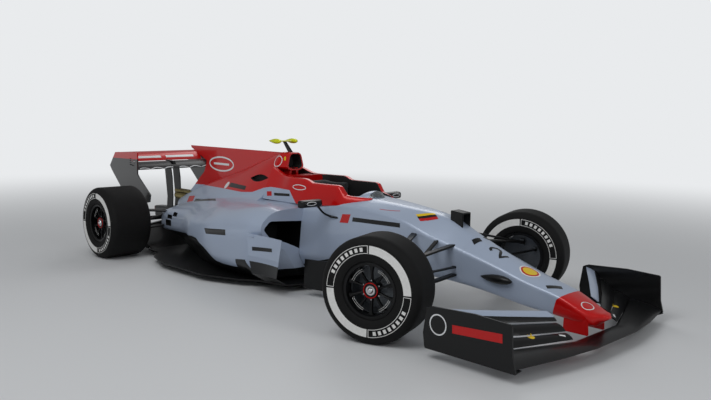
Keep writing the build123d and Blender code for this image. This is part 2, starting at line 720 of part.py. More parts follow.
vane_rows = [
    # z, lead_x, lead_y, trail_x, trail_y, bow
    (floor_top + seat_gap, -1270, 520, -1490, 560, 12),
    (150, -1190, 690, -1480, 700, 16),
    (300, -1100, 738, -1470, 742, 18),
    (468, -1060, 742, -1490, 738, 14),
]
with BuildPart() as sidepod_vanes:
    loft(sections=[foil(plan(z), (lx, ly), (tx, ty), bow, 10, 5) for z, lx, ly, tx, ty, bow in vane_rows],
         ruled=True)
    arm_start, arm_end = at(-1440, 742, 452), at(-1440, 690, 452)
    with BuildSketch(strut_plane(arm_start, arm_end)):
        SlotOverall(70, 8)
    extrude(amount=span(arm_start, arm_end))
    mirror(about=Plane.XZ)
    for side in (1, -1):
        add(pods[side], mode=Mode.SUBTRACT)
sidepod_vanes.part.label = "sidepod_vanes"
export_step(sidepod_vanes.part, "parts/sidepod_vanes.step")

# Wheels: one function for the tyre outline and one for the rim with its hub, disc bell and nut
rim_r = 165.0
rim_lip_r = 177.0
rim_wall = 7.0
hub_bore = 25.0
disc_r = 138.0
drum_r = 151.0
drum_wall = 5.0
spindle_r = hub_bore - pin_gap
nut_r = 44.0
spokes = 10
shoulder_r = 40.0


def hub_plane(centre, outward):
    """Plane through an axle: local x is up from the axle, local y is outward along it."""
    return Plane(origin=centre, x_dir=(0, 0, 1), z_dir=(-outward.Y, outward.X, 0))


def face_plane(centre, outward, depth):
    """Plane square to an axle, at a distance outward from the wheel's middle."""
    return Plane(origin=Vector(*centre) + outward * depth, x_dir=(outward.Y, -outward.X, 0), z_dir=outward)


def wheel_place(end, side):
    """Centre of a wheel and its outward direction, with the parked steering on the front ones."""
    if end == "rear":
        return at(-wheelbase, side * rear_wheel_y, tyre_radius), Vector(0, side, 0)
    turn = radians(parked_steer)
    outward = Vector(-sin(turn), cos(turn), 0) * side
    return tuple(Vector(*at(0, side * kingpin_y, tyre_radius)) + outward * kingpin_offset), outward


for end, width in (("front", front_tyre_width), ("rear", rear_tyre_width)):
    for side, hand in ((1, "left"), (-1, "right")):
        centre, outward = wheel_place(end, side)
        axle = Axis(centre, outward)
        half = width / 2
        with BuildPart() as tyre:
            with BuildSketch(hub_plane(centre, outward)):
                with BuildLine():
                    Polyline((rim_r, -half + 26), (rim_lip_r + 0.5, -half + 26), (rim_lip_r + 8, -half + 14),
                             (235, -half), (282, -half), (tyre_radius - 24, -half + 9), (tyre_radius, -half + 34),
                             (tyre_radius, half - 34), (tyre_radius - 24, half - 9), (282, half), (235, half),
                             (rim_lip_r + 8, half - 14), (rim_lip_r + 0.5, half - 26), (rim_r, half - 26),
                             close=True)
                make_face()
            revolve(axis=axle)
        tyre.part.label = f"{hand}_{end}_tyre"
        export_step(tyre.part, f"parts/{tyre.part.label}.step")
        spoke_s = half - 62
        disc_s = half - 62 - 34 - 30
        with BuildPart() as rim:
            with BuildSketch(hub_plane(centre, outward)):
                with BuildLine():
                    Polyline((rim_r - rim_wall, -half + 17), (rim_lip_r, -half + 17), (rim_lip_r, -half + 25.6),
                             (rim_r - pin_gap, -half + 25.6), (rim_r - pin_gap, half - 25.6),
                             (rim_lip_r, half - 25.6), (rim_lip_r, half - 17), (rim_r - rim_wall, half - 17),
                             close=True)
                make_face()
                with BuildLine():
                    Polyline((nut_r - 6, spoke_s - 8), (rim_r - rim_wall + 1, spoke_s + 14),
                             (rim_r - rim_wall + 1, spoke_s + 30), (nut_r - 6, spoke_s + 14), close=True)
                make_face()
                with BuildLine():
                    Polyline((hub_bore, disc_s), (hub_bore, spoke_s + 20), (nut_r - 14, spoke_s + 34),
                             (nut_r, spoke_s + 30), (nut_r, spoke_s - 10), (nut_r - 4, disc_s), close=True)
                make_face()
                with BuildLine():
                    Polyline((nut_r - 8, disc_s), (nut_r - 8, disc_s + 26), (disc_r, disc_s + 26), (disc_r, disc_s),
                             close=True)
                make_face()
            revolve(axis=axle)
            with BuildSketch(face_plane(centre, outward, spoke_s - 20)):
                with PolarLocations(0, spokes):
                    with BuildLine():
                        Polyline((66, -11), (140, -27), (140, 27), (66, 11), close=True)
                    make_face()
            extrude(amount=60, mode=Mode.SUBTRACT)
        rim.part.label = f"{hand}_{end}_rim"
        export_step(rim.part, f"parts/{rim.part.label}.step")

# Front uprights: brake drum, spindle, kingpin lugs and steering arm, turned with the parked wheels
joint_rise = 95.0
kingpin_r = 10.0
joint_half_gap = 14.0
joint_height = 24.0
lug_half = 14.0
lug_thickness = 10.0
upright_wall_s = -38.0
eye_height = 16.0
rack_pin_r = 5.0
rack_eye_bore = 12.5
rack_eye_r = 19.0
rack_rise = rack_z - tyre_radius


def drum_and_spindle(centre, outward, wall_s, half):
    """Drum shell with its closing wall, and the spindle that the hub turns on; the faces to extrude."""
    spoke_s = half - 62
    with BuildSketch(hub_plane(centre, outward)) as outline:
        with BuildLine():
            Polyline((0, wall_s), (drum_r, wall_s), (drum_r, spoke_s - 20), (drum_r - drum_wall, spoke_s - 20),
                     (drum_r - drum_wall, wall_s + 7), (spindle_r + 30, wall_s + 7), (spindle_r, wall_s + 20),
                     (spindle_r, spoke_s + 16), (0, spoke_s + 16), close=True)
        make_face()
    return outline.sketch


for side, hand in ((1, "left"), (-1, "right")):
    centre, outward = wheel_place("front", side)
    turn = radians(parked_steer)
    pin_foot = at(0, side * kingpin_y, 0)
    with BuildPart() as upright:
        revolve(drum_and_spindle(centre, outward, upright_wall_s, front_tyre_width / 2), axis=Axis(centre, outward))
        lug_end = kingpin_offset + upright_wall_s + 1
        lugs = [(0, rise + sign * (joint_half_gap + lug_thickness / 2), lug_half)
                for rise in (joint_rise, -joint_rise) for sign in (1, -1)]
        lugs += [(steering_arm, rack_rise + sign * (eye_height / 2 + 1 + lug_thickness / 2), 12)
                 for sign in (1, -1)]
        for ahead, rise, reach in lugs:
            level = Plane(origin=Vector(*pin_foot) + Vector(0, 0, tyre_radius + rise - lug_thickness / 2),
                          x_dir=(cos(turn), sin(turn), 0), z_dir=(0, 0, 1))
            with BuildSketch(level):
                with Locations((ahead, side * (lug_end - reach) / 2)):
                    Rectangle(2 * reach, lug_end + reach)
            extrude(amount=lug_thickness)
        pins = [(0, joint_rise, kingpin_r, joint_half_gap), (0, -joint_rise, kingpin_r, joint_half_gap),
                (steering_arm, rack_rise, rack_pin_r, eye_height / 2 + 1)]
        for ahead, rise, radius, reach in pins:
            level = Plane(origin=Vector(*pin_foot) + Vector(0, 0, tyre_radius + rise - reach),
                          x_dir=(cos(turn), sin(turn), 0), z_dir=(0, 0, 1))
            with BuildSketch(level):
                with Locations((ahead, 0)):
                    Circle(radius)
            extrude(amount=2 * reach)
    upright.part.label = f"{hand}_front_upright"
    export_step(upright.part, f"parts/{upright.part.label}.step")

# Front wishbones and pushrods, from the tub's skin to the rings on the kingpins
arm_chord = 50.0
arm_thickness = 16.0
inner_joints = [
    # rise of the outer joint from the axle, then the two inner ends
    (joint_rise, (60, 150, 524), (-270, 160, 575)),
    (-joint_rise, (90, 140, 330), (-330, 160, 330)),
]
with BuildPart() as front_suspension:
    for rise, *ends in inner_joints:
        outer = at(0, kingpin_y, tyre_radius + rise)
        for end in ends:
            with BuildSketch(strut_plane(outer, at(*end))):
                SlotOverall(arm_chord, arm_thickness)
            extrude(amount=span(outer, at(*end)))
    rod_start, rod_end = at(-14, kingpin_y - 90, 244), at(-62, 150, 560)
    with BuildSketch(strut_plane(rod_start, rod_end)):
        SlotOverall(36, 14)
    extrude(amount=span(rod_start, rod_end))
    for rise in (joint_rise, -joint_rise):
        level = Plane(origin=at(0, kingpin_y, tyre_radius + rise - joint_height / 2))
        with BuildSketch(level):
            Circle(22)
            with Locations((0, 30)):
                Rectangle(60, 60, mode=Mode.SUBTRACT)
            Circle(22)
        extrude(amount=joint_height)
        with BuildSketch(level.offset(-20)):
            Rectangle(120, 120)
            with Locations((0, -60)):
                Rectangle(120, 80, mode=Mode.SUBTRACT)
            Circle(22, mode=Mode.SUBTRACT)
        extrude(amount=joint_height + 40, mode=Mode.SUBTRACT)
        with BuildSketch(level.offset(-20)):
            Circle(kingpin_r + pin_gap)
        extrude(amount=joint_height + 40, mode=Mode.SUBTRACT)
    mirror(about=Plane.XZ)
    add(tub_skin.part, mode=Mode.SUBTRACT)
front_suspension.part.label = "front_suspension"
export_step(front_suspension.part, "parts/front_suspension.step")

# Steering rack and its two track rods as one sliding bar, with an eye over the pin of each steering arm
eye_shift = steering_arm * sin(radians(parked_steer))
with BuildPart() as track_rods:
    eyes = [side * kingpin_y + eye_shift for side in (1, -1)]
    with BuildSketch(side_plane(eyes[0])):
        with Locations((rack_x, rack_z)):
            SlotOverall(rod_chord, rod_thickness)
    extrude(amount=eyes[0] - eyes[1])
    for y in eyes:
        with BuildSketch(Plane(origin=at(rack_x, y, rack_z - eye_height / 2))):
            Circle(rack_eye_r)
        extrude(amount=eye_height)
    for y in eyes:
        with BuildSketch(Plane(origin=at(rack_x, y, rack_z - eye_height))):
            Circle(rack_eye_bore)
        extrude(amount=2 * eye_height, mode=Mode.SUBTRACT)
track_rods.part.label = "track_rods"
export_step(track_rods.part, "parts/track_rods.step")

# Rear uprights, wishbones, pushrods and drive shafts
rear_wall_s = -60.0
rear_block_s = -100.0
rear_block_y = rear_wheel_y + rear_block_s
with BuildPart() as rear_uprights:
    for side in (1, -1):
        centre, outward = wheel_place("rear", side)
        revolve(drum_and_spindle(centre, outward, rear_wall_s, rear_tyre_width / 2), axis=Axis(centre, outward))
        with BuildSketch(face_plane(centre, outward, rear_block_s)):
            RectangleRounded(110, 250, 20)
        extrude(amount=rear_wall_s - rear_block_s)
rear_uprights.part.label = "rear_uprights"
export_step(rear_uprights.part, "parts/rear_uprights.step")

rear_joint_y = rear_block_y + 18
rear_arms = [
    # outer end, inner end, chord, thickness
    ((rear_axle + 20, rear_joint_y, 440), (rear_axle + 190, 190, 400), 50, 16),
    ((rear_axle - 10, rear_joint_y, 440), (rear_axle - 100, 50, 375), 50, 16),
    ((rear_axle + 20, rear_joint_y, 230), (rear_axle + 200, 190, 300), 50, 16),
    ((rear_axle - 10, rear_joint_y, 230), (rear_axle - 130, 40, 300), 50, 16),
    ((rear_axle + 15, rear_joint_y, 262), (rear_axle + 140, 190, 430), 30, 14),
    ((rear_axle, rear_joint_y, tyre_radius), (rear_axle, 50, tyre_radius), 44, 43),
]
with BuildPart() as rear_suspension:
    for outer, inner, chord, thickness in rear_arms:
        with BuildSketch(strut_plane(at(*outer), at(*inner))):
            SlotOverall(chord, thickness)
        extrude(amount=span(at(*outer), at(*inner)))
    with BuildSketch(side_plane(900)):
        with Locations((-wheelbase, tyre_radius)):
            Rectangle(400, 500)
    extrude(amount=900 - rear_block_y + seat_gap, mode=Mode.SUBTRACT)
    mirror(about=Plane.XZ)
    add(gearbox_skin.part, mode=Mode.SUBTRACT)
    for side in (1, -1):
        add(pods[side], mode=Mode.SUBTRACT)
rear_suspension.part.label = "rear_suspension"
export_step(rear_suspension.part, "parts/rear_suspension.step")

# Rear wing: main plane with the flap actuator, moving flap, end plates and pylons
rear_wing_half = 475.0
end_plate = 14.0
wing_inner_y = rear_wing_half - end_plate
main_lead, main_trail = (rear_axle - 218, 800), (rear_axle - 446, 856)
main_camber, main_thickness = -26.0, 22.0
flap_lead, flap_trail = (rear_axle - 456, 870), (rear_axle - 632, 960)
flap_camber, flap_thickness = -16.0, 14.0
flap_pivot = (rear_axle - 604, 944.0)
pivot_pin_r = 5.0
flap_half = wing_inner_y - running_gap


def rear_foil(y, lead, trail, camber, thickness, grow=0.0):
    return foil(side_plane(y), lead, trail, camber, thickness + 2 * grow, 3 + 2 * grow)


with BuildPart() as rear_wing_main_plane:
    extrude(rear_foil(wing_inner_y - seat_gap, main_lead, main_trail, main_camber, main_thickness),
            amount=2 * (wing_inner_y - seat_gap))
    with BuildSketch(side_plane(16)):
        with BuildLine():
            Polyline((rear_axle - 250, 824), (rear_axle - 280, 872), (rear_axle - 410, 880), (rear_axle - 424, 858),
                     (rear_axle - 400, 840), close=True)
        make_face()
    extrude(amount=32)
    rod_start, rod_end = at(rear_axle - 400, 0, 866), at(rear_axle - 431, 0, 878)
    with BuildSketch(strut_plane(rod_start, rod_end)):
        Circle(4)
    extrude(amount=span(rod_start, rod_end))
rear_wing_main_plane.part.label = "rear_wing_main_plane"
export_step(rear_wing_main_plane.part, "parts/rear_wing_main_plane.step")

with BuildPart() as drs_flap:
    extrude(rear_foil(flap_half, flap_lead, flap_trail, flap_camber, flap_thickness), amount=2 * flap_half)
    for y in (flap_half, -flap_half + 5):
        with BuildSketch(side_plane(y)):
            with BuildLine():
                Polyline((rear_axle - 550, 905), (rear_axle - 584, 960), (rear_axle - 620, 964), (rear_axle - 634, 960),
                         (rear_axle - 620, 930), (rear_axle - 580, 905), close=True)
            make_face()
        extrude(amount=5)
    with BuildSketch(side_plane(flap_half + 1)):
        with Locations(flap_pivot):
            Circle(pivot_pin_r + pin_gap)
    extrude(amount=6, mode=Mode.SUBTRACT)
    with BuildSketch(side_plane(-flap_half - 1)):
        with Locations(flap_pivot):
            Circle(pivot_pin_r + pin_gap)
    extrude(amount=-6, mode=Mode.SUBTRACT)
drs_flap.part.label = "drs_flap"
export_step(drs_flap.part, "parts/drs_flap.step")

foot_front_x = rear_axle - 120
foot_rear_x = rear_axle - 340
with BuildPart() as rear_wing_end_plates:
    with BuildSketch(side_plane(rear_wing_half)):
        with BuildLine():
            Polyline((rear_axle - 175, 974), (rear_axle - 643, 961), (rear_axle - rear_overhang, 818),
                     (rear_axle - 721, 768), (rear_axle - 550, 623), (rear_axle - 410, 420),
                     (foot_rear_x, diffuser_top(foot_rear_x) + seat_gap),
                     (foot_front_x, diffuser_top(foot_front_x) + seat_gap), (rear_axle - 104, 468),
                     (rear_axle + 50, 500), (rear_axle + 68, 573),
                     (rear_axle - 145, 725), (rear_axle - 184, 763), close=True)
        make_face()
    extrude(amount=end_plate)
    louvres = [(rear_axle - 270, 905), (rear_axle - 270, 885), (rear_axle - 270, 865), (rear_axle - 270, 845)]
    with BuildSketch(side_plane(rear_wing_half)):
        for x, z in louvres:
            with Locations((x, z)):
                SlotOverall(120, 8, rotation=-8)
    extrude(amount=end_plate, mode=Mode.SUBTRACT)
    with BuildSketch(side_plane(wing_inner_y)):
        with Locations(flap_pivot):
            Circle(pivot_pin_r)
    extrude(amount=running_gap + 4)
    mirror(about=Plane.XZ)
rear_wing_end_plates.part.label = "rear_wing_end_plates"
export_step(rear_wing_end_plates.part, "parts/rear_wing_end_plates.step")

pylon_y = 42.0
pylon_thickness = 10.0
with BuildPart() as rear_wing_pylons:
    with BuildSketch(side_plane(pylon_y + pylon_thickness)):
        with BuildLine():
            Polyline((rear_axle - 240, 330), (rear_axle - 224, 500), (rear_axle - 232, 700), (rear_axle - 260, 830),
                     (rear_axle - 380, 830), (rear_axle - 360, 700), (rear_axle - 330, 500),
                     (rear_axle - 350, 330), close=True)
        make_face()
        fillet(vertices().sort_by(Axis.Y)[2:6], 40)
    extrude(amount=pylon_thickness)
    mirror(about=Plane.XZ)
    add(gearbox_skin.part, mode=Mode.SUBTRACT)
    extrude(rear_foil(200, main_lead, main_trail, main_camber, main_thickness, seat_gap), amount=400,
            mode=Mode.SUBTRACT)
    with BuildSketch(side_plane(200)):
        with BuildLine():
            Polyline((rear_axle - 180, 850), (rear_axle - 218, 798), (rear_axle - 330, 800), (rear_axle - 446, 850),
                     (rear_axle - 446, 1000), (rear_axle - 180, 1000), close=True)
        make_face()
    extrude(amount=400, mode=Mode.SUBTRACT)
rear_wing_pylons.part.label = "rear_wing_pylons"
export_step(rear_wing_pylons.part, "parts/rear_wing_pylons.step")

# Exhaust: the large tail pipe and two small waste pipes above it, out of the back of the cover
with BuildPart() as exhaust:
    with BuildSketch(station(rear_axle - 210)):
        with Locations((0, 520)):
            Circle(40)
            Circle(36, mode=Mode.SUBTRACT)
    extrude(amount=230)
    with BuildSketch(station(rear_axle - 200)):
        with Locations((30, 573), (-30, 573)):
            Circle(14)
            Circle(11, mode=Mode.SUBTRACT)
    extrude(amount=330)
    add(engine_cover.part, mode=Mode.SUBTRACT)
exhaust.part.label = "exhaust"
export_step(exhaust.part, "parts/exhaust.step")

with BuildPart() as rain_light:
    with BuildSketch(station(tail_x - seat_gap)):
        with Locations((0, 344)):
            RectangleRounded(78, 40, 8)
    extrude(amount=-28)
rain_light.part.label = "rain_light"
export_step(rain_light.part, "parts/rain_light.step")
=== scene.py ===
import json
from math import cos, pi, radians, sin

import bmesh
import bpy
import numpy as np
from mathutils import Matrix, Vector
from mathutils.bvhtree import BVHTree

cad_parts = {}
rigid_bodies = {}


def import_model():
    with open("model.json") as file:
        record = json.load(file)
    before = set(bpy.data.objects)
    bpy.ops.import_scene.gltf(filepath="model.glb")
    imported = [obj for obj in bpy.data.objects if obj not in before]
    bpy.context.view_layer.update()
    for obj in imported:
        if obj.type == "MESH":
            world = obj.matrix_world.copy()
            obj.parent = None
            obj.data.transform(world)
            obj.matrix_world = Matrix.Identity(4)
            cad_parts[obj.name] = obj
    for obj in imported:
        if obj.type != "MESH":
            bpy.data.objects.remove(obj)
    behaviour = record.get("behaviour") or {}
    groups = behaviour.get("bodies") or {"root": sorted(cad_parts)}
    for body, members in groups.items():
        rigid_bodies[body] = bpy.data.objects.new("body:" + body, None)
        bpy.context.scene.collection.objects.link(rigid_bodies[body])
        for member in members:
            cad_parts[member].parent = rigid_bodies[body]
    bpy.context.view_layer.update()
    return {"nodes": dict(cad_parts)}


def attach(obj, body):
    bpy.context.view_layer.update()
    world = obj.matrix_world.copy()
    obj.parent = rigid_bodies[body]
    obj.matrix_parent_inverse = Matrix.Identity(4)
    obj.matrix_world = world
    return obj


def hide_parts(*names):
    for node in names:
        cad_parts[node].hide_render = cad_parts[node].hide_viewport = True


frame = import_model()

nodes = frame["nodes"]

# Floor, plank and diffuser: the flat carbon underbody that everything is bolted to, with the wooden wear
# plank along its middle. The carbon is laid up in a mould, lacquered and left black. All three keep the
# shape of the CAD solids.
front_axle_x = 1547.5


def at(x, y, z):
    """Point in metres from millimetres, x given as the distance ahead of the front axle."""
    return Vector(((x + front_axle_x) / 1000, y / 1000, z / 1000))


def linear(colour):
    """Scene colour of an sRGB hex colour."""
    parts = [int(colour[i:i + 2], 16) / 255 for i in (1, 3, 5)]
    return [c / 12.92 if c <= 0.04045 else ((c + 0.055) / 1.055) ** 2.4 for c in parts] + [1.0]


def add(tree, kind, links=None, **settings):
    """New node with its settings, and its inputs linked to sockets or set to values."""
    made = tree.nodes.new(kind)
    for name, value in settings.items():
        setattr(made, name, value)
    for key, value in (links or {}).items():
        if isinstance(value, bpy.types.NodeSocket):
            tree.links.new(value, made.inputs[key])
        else:
            made.inputs[key].default_value = value
    return made


def new_material(name):
    """Material with its node tree, shader and the object coordinates that its patterns read."""
    made = bpy.data.materials.new(name)
    made.use_nodes = True
    tree = made.node_tree
    place = add(tree, "ShaderNodeTexCoord").outputs["Object"]
    return made, tree, tree.nodes["Principled BSDF"], place


def mix_colours(tree, factor, first, second):
    """Colour that goes from the first to the second with the factor."""
    return add(tree, "ShaderNodeMix", {0: factor, 6: first, 7: second}, data_type="RGBA").outputs[2]


def tint(tree, shader, factor, dark, light):
    """Base colour that goes from dark to light with the factor."""
    tree.links.new(mix_colours(tree, factor, linear(dark), linear(light)), shader.inputs["Base Color"])


def noise(tree, place, scale, detail=2.0):
    """Soft random pattern; the scale is in patches to the metre."""
    return add(tree, "ShaderNodeTexNoise", {"Vector": place, "Scale": scale, "Detail": detail}).outputs[0]


def remap(tree, value, low, high, new_low, new_high):
    """Value moved from one range to another and held at its ends."""
    return add(tree, "ShaderNodeMapRange", {0: value, 1: low, 2: high, 3: new_low, 4: new_high}).outputs[0]


def reckon(tree, operation, *values):
    """Result of a sum on one or two values."""
    return add(tree, "ShaderNodeMath", dict(enumerate(values)), operation=operation).outputs[0]


def set_shader(shader, **values):
    """Constants on the shader's own sockets, named with underscores for spaces."""
    for name, value in values.items():
        shader.inputs[name.replace("_", " ")].default_value = value


def bump(tree, shader, height, strength, distance):
    """Relief on the shader, its depth in metres."""
    relief = add(tree, "ShaderNodeBump", {"Height": height, "Strength": strength, "Distance": distance})
    tree.links.new(relief.outputs["Normal"], shader.inputs["Normal"])


turns_per_6_mm, turns_per_3_mm = 1047.0, 2094.0


def woven_carbon(name, dark, light, roughness):
    """Lacquered carbon cloth: a twill of 3 mm tows that shows in the gloss more than in the colour."""
    made, tree, shader, place = new_material(name)
    x, y, z = add(tree, "ShaderNodeSeparateXYZ", {0: place}).outputs
    slant = reckon(tree, "ADD", reckon(tree, "ADD", x, z), y)
    wave = reckon(tree, "SINE", reckon(tree, "MULTIPLY", slant, turns_per_6_mm))
    cross = reckon(tree, "SUBTRACT", x, z)
    cross_wave = reckon(tree, "SINE", reckon(tree, "MULTIPLY", cross, turns_per_3_mm))
    share = remap(tree, reckon(tree, "MULTIPLY", wave, cross_wave), -1.0, 1.0, 0.0, 1.0)
    tone = mix_colours(tree, share, linear(dark), linear(light))
    dusty = remap(tree, noise(tree, place, 5.0, 3.0), 0.45, 0.75, 0.0, 0.25)
    tree.links.new(mix_colours(tree, dusty, tone, linear(light)), shader.inputs["Base Color"])
    gloss = remap(tree, share, 0.0, 1.0, roughness - 0.06, roughness + 0.08)
    tree.links.new(gloss, shader.inputs["Roughness"])
    set_shader(shader, Coat_Weight=0.2, Coat_Roughness=0.12, Specular_IOR_Level=0.25)
    bump(tree, shader, share, 0.25, 0.0002)
    return made


def dress(material, slot_name, *names):
    """Gives CAD nodes their finish."""
    for name in names:
        mesh = nodes[name].data
        mesh.materials.clear()
        mesh.materials.append(material)


black_carbon = woven_carbon("black_lacquered_carbon", "#040405", "#0D0E10", 0.36)
floor_carbon = woven_carbon("floor_satin_carbon", "#050506", "#101113", 0.5)
dress(floor_carbon, "black_carbon", "floor", "diffuser")
dress(black_carbon, "black_carbon", "bargeboards")

plank_wood, tree, shader, place = new_material("resin_wood_plank")
stretched = add(tree, "ShaderNodeMapping", {0: place, 3: (0.6, 12.0, 12.0)})
fibres = noise(tree, stretched.outputs[0], 14.0, 4.0)
tint(tree, shader, fibres, "#4A3B2C", "#6B5740")
set_shader(shader, Roughness=0.7)
bump(tree, shader, fibres, 0.3, 0.0004)
dress(plank_wood, "black_carbon", "plank")

# Chassis tub and nose: one long carbon shell over a honeycomb core, painted silver-blue with a red tip, its
# opening cut for the cockpit. The nose is pinned to the tub's front bulkhead on the same outline.
hands = ((1, "left"), (-1, "right"))
box_corners = ((1, 1), (1, -1), (-1, -1), (-1, 1))
crease = radians(28)
silver = "#A6B3C8"
red = "#C00202"
carbon_black = "#0A0B0C"


def slopes(xs, ys):
    """Slopes at the rows of a table, held so that the curve never swings past a row."""
    steps = np.diff(xs)
    rises = np.diff(ys, axis=0) / steps[:, None]
    found = np.zeros_like(ys)
    found[0], found[-1] = rises[0], rises[-1]
    for i in range(1, len(xs) - 1):
        same_way = rises[i - 1] * rises[i] > 0
        w1, w2 = 2 * steps[i] + steps[i - 1], steps[i] + 2 * steps[i - 1]
        safe_a = np.where(same_way, rises[i - 1], 1.0)
        safe_b = np.where(same_way, rises[i], 1.0)
        found[i] = np.where(same_way, (w1 + w2) / (w1 / safe_a + w2 / safe_b), 0.0)
    return found


def flowing(rows, x):
    """Row of a table at any x, flowing smoothly from row to row; the first column is x, front to back."""
    table = np.array(rows, float)
    xs, ys = -table[:, 0], table[:, 1:]
    leans = slopes(xs, ys)
    i = int(np.clip(np.searchsorted(xs, -x) - 1, 0, len(xs) - 2))
    step = xs[i + 1] - xs[i]
    t = (-x - xs[i]) / step
    return ((2 * t**3 - 3 * t**2 + 1) * ys[i] + (t**3 - 2 * t**2 + t) * step * leans[i]
            + (3 * t**2 - 2 * t**3) * ys[i + 1] + (t**3 - t**2) * step * leans[i + 1])


def rounded(points, steps=4):
    """Closed outline with each corner turned softly; a point is two coordinates and its corner's length."""
    outline = []
    for i, (u, v, reach) in enumerate(points):
        here = Vector((u, v))
        before = Vector(points[i - 1][:2]) - here
        after = Vector(points[(i + 1) % len(points)][:2]) - here
        start = here + before * min(reach / max(before.length, 1e-6), 0.48)
        end = here + after * min(reach / max(after.length, 1e-6), 0.48)
        for k in range(steps + 1):
            t = k / steps
            outline.append(start * (1 - t)**2 + here * (2 * t * (1 - t)) + end * t**2)
    return outline


def both_sides(half):
    """Outline from the points of one side and their mirror images."""
    return half + [(-y, z, reach) for y, z, reach in reversed(half)]


def section(x, points, steps=4, side=1):
    """Ring of a soft-cornered outline (y, z) at a distance ahead of the front axle."""
    return [at(x, side * y, z) for y, z in rounded(points, steps)]


def side_cut(outline, near_y, far_y):
    """Rings of an outline (x, z) that goes through a flank."""
    return [[at(x, y, z) for x, z in outline] for y in (near_y, far_y)]


def new_object(name, data):
    """Object in the scene."""
    made = bpy.data.objects.new(name, data)
    bpy.context.scene.collection.objects.link(made)
    return made


def place_mesh(name, mesh_data, material):
    """Object from a bmesh, its doubles merged, faces outward and edges smooth up to a crease."""
    bmesh.ops.remove_doubles(mesh_data, verts=mesh_data.verts, dist=1e-5)
    bmesh.ops.recalc_face_normals(mesh_data, faces=mesh_data.faces)
    mesh = bpy.data.meshes.new(name)
    mesh_data.to_mesh(mesh)
    mesh_data.free()
    for face in mesh.polygons:
        face.use_smooth = True
    mesh.set_sharp_from_angle(angle=crease)
    mesh.materials.append(material)
    return new_object(name, mesh)


def shell(name, rings, material, capped=True):
    """Skin through rings of points that follow each other."""
    data = bmesh.new()
    rows = [[data.verts.new(point) for point in ring] for ring in rings]
    count = len(rows[0])
    for first, second in zip(rows, rows[1:]):
        for i in range(count):
            j = (i + 1) % count
            data.faces.new((first[i], first[j], second[j], second[i]))
    if capped:
        data.faces.new(rows[0])
        data.faces.new(rows[-1])
    return place_mesh(name, data, material)


def cut(target, cutter):
    """Takes the cutter's volume out of the target; the cut faces keep the cutter's material."""
    modifier = target.modifiers.new("cut", "BOOLEAN")
    modifier.operation = "DIFFERENCE"
    modifier.solver = "EXACT"
    modifier.material_mode = "TRANSFER"
    modifier.object = cutter
    evaluated = target.evaluated_get(bpy.context.evaluated_depsgraph_get())
    carved = bpy.data.meshes.new_from_object(evaluated)
    target.modifiers.clear()
    target.data = carved
    bpy.data.objects.remove(cutter)
    target.data.set_sharp_from_angle(angle=crease)


curve_height = 2000


def above_line(tree, place, line, above=True):
    """1 above a line across the car's side, else 0, or the other way round; its points are x and z in mm."""
    x_socket, _, z_socket = add(tree, "ShaderNodeSeparateXYZ", {0: place}).outputs
    xs = [at(x, 0, z).x for x, z in line]
    curve = add(tree, "ShaderNodeFloatCurve", {1: remap(tree, x_socket, xs[0], xs[-1], 0.0, 1.0)})
    points = curve.mapping.curves[0].points
    while len(points) < len(line):
        points.new(0.5, 0.5)
    for point, x, (_, z) in zip(points, xs, line):
        point.location = ((x - xs[0]) / (xs[-1] - xs[0]), z / curve_height)
        point.handle_type = "VECTOR"
    curve.mapping.update()
    height = reckon(tree, "MULTIPLY", z_socket, 1000 / curve_height)
    return reckon(tree, "GREATER_THAN" if above else "LESS_THAN", height, curve.outputs[0])


def line_mask(line, above=True):
    """Mask for car_paint that is 1 above or below a line."""
    return lambda tree, place: above_line(tree, place, line, above)


def car_paint(name, colour, *layers):
    """Sprayed base coat with a fine flake under clear lacquer; each layer is a colour and its mask."""
    made, tree, shader, place = new_material(name)
    cloud = noise(tree, place, 1.6)
    shade = linear(colour)
    deeper = [c * 0.93 for c in shade[:3]] + [1.0]
    base = mix_colours(tree, cloud, deeper, shade)
    for layer_colour, mask in layers:
        base = mix_colours(tree, mask(tree, place), base, linear(layer_colour))
    flake = add(tree, "ShaderNodeTexVoronoi", {"Vector": place, "Scale": 700.0}).outputs["Distance"]
    lift = remap(tree, flake, 0.0, 0.6, 0.97, 1.03)
    sparkle = add(tree, "ShaderNodeVectorMath", {0: base, 3: lift}, operation="SCALE")
    tree.links.new(sparkle.outputs[0], shader.inputs["Base Color"])
    tree.links.new(remap(tree, cloud, 0.3, 0.7, 0.3, 0.36), shader.inputs["Roughness"])
    set_shader(shader, Metallic=0.15, Specular_IOR_Level=0.3, Coat_Weight=0.4, Coat_Roughness=0.05)
    bump(tree, shader, noise(tree, place, 260.0, 1.0), 0.08, 0.0003)
    return made


def stations(start, end, gap):
    """Even steps from start back to end, the ends included."""
    count = max(2, round((start - end) / gap) + 1)
    return [start + (end - start) * i / (count - 1) for i in range(count)]


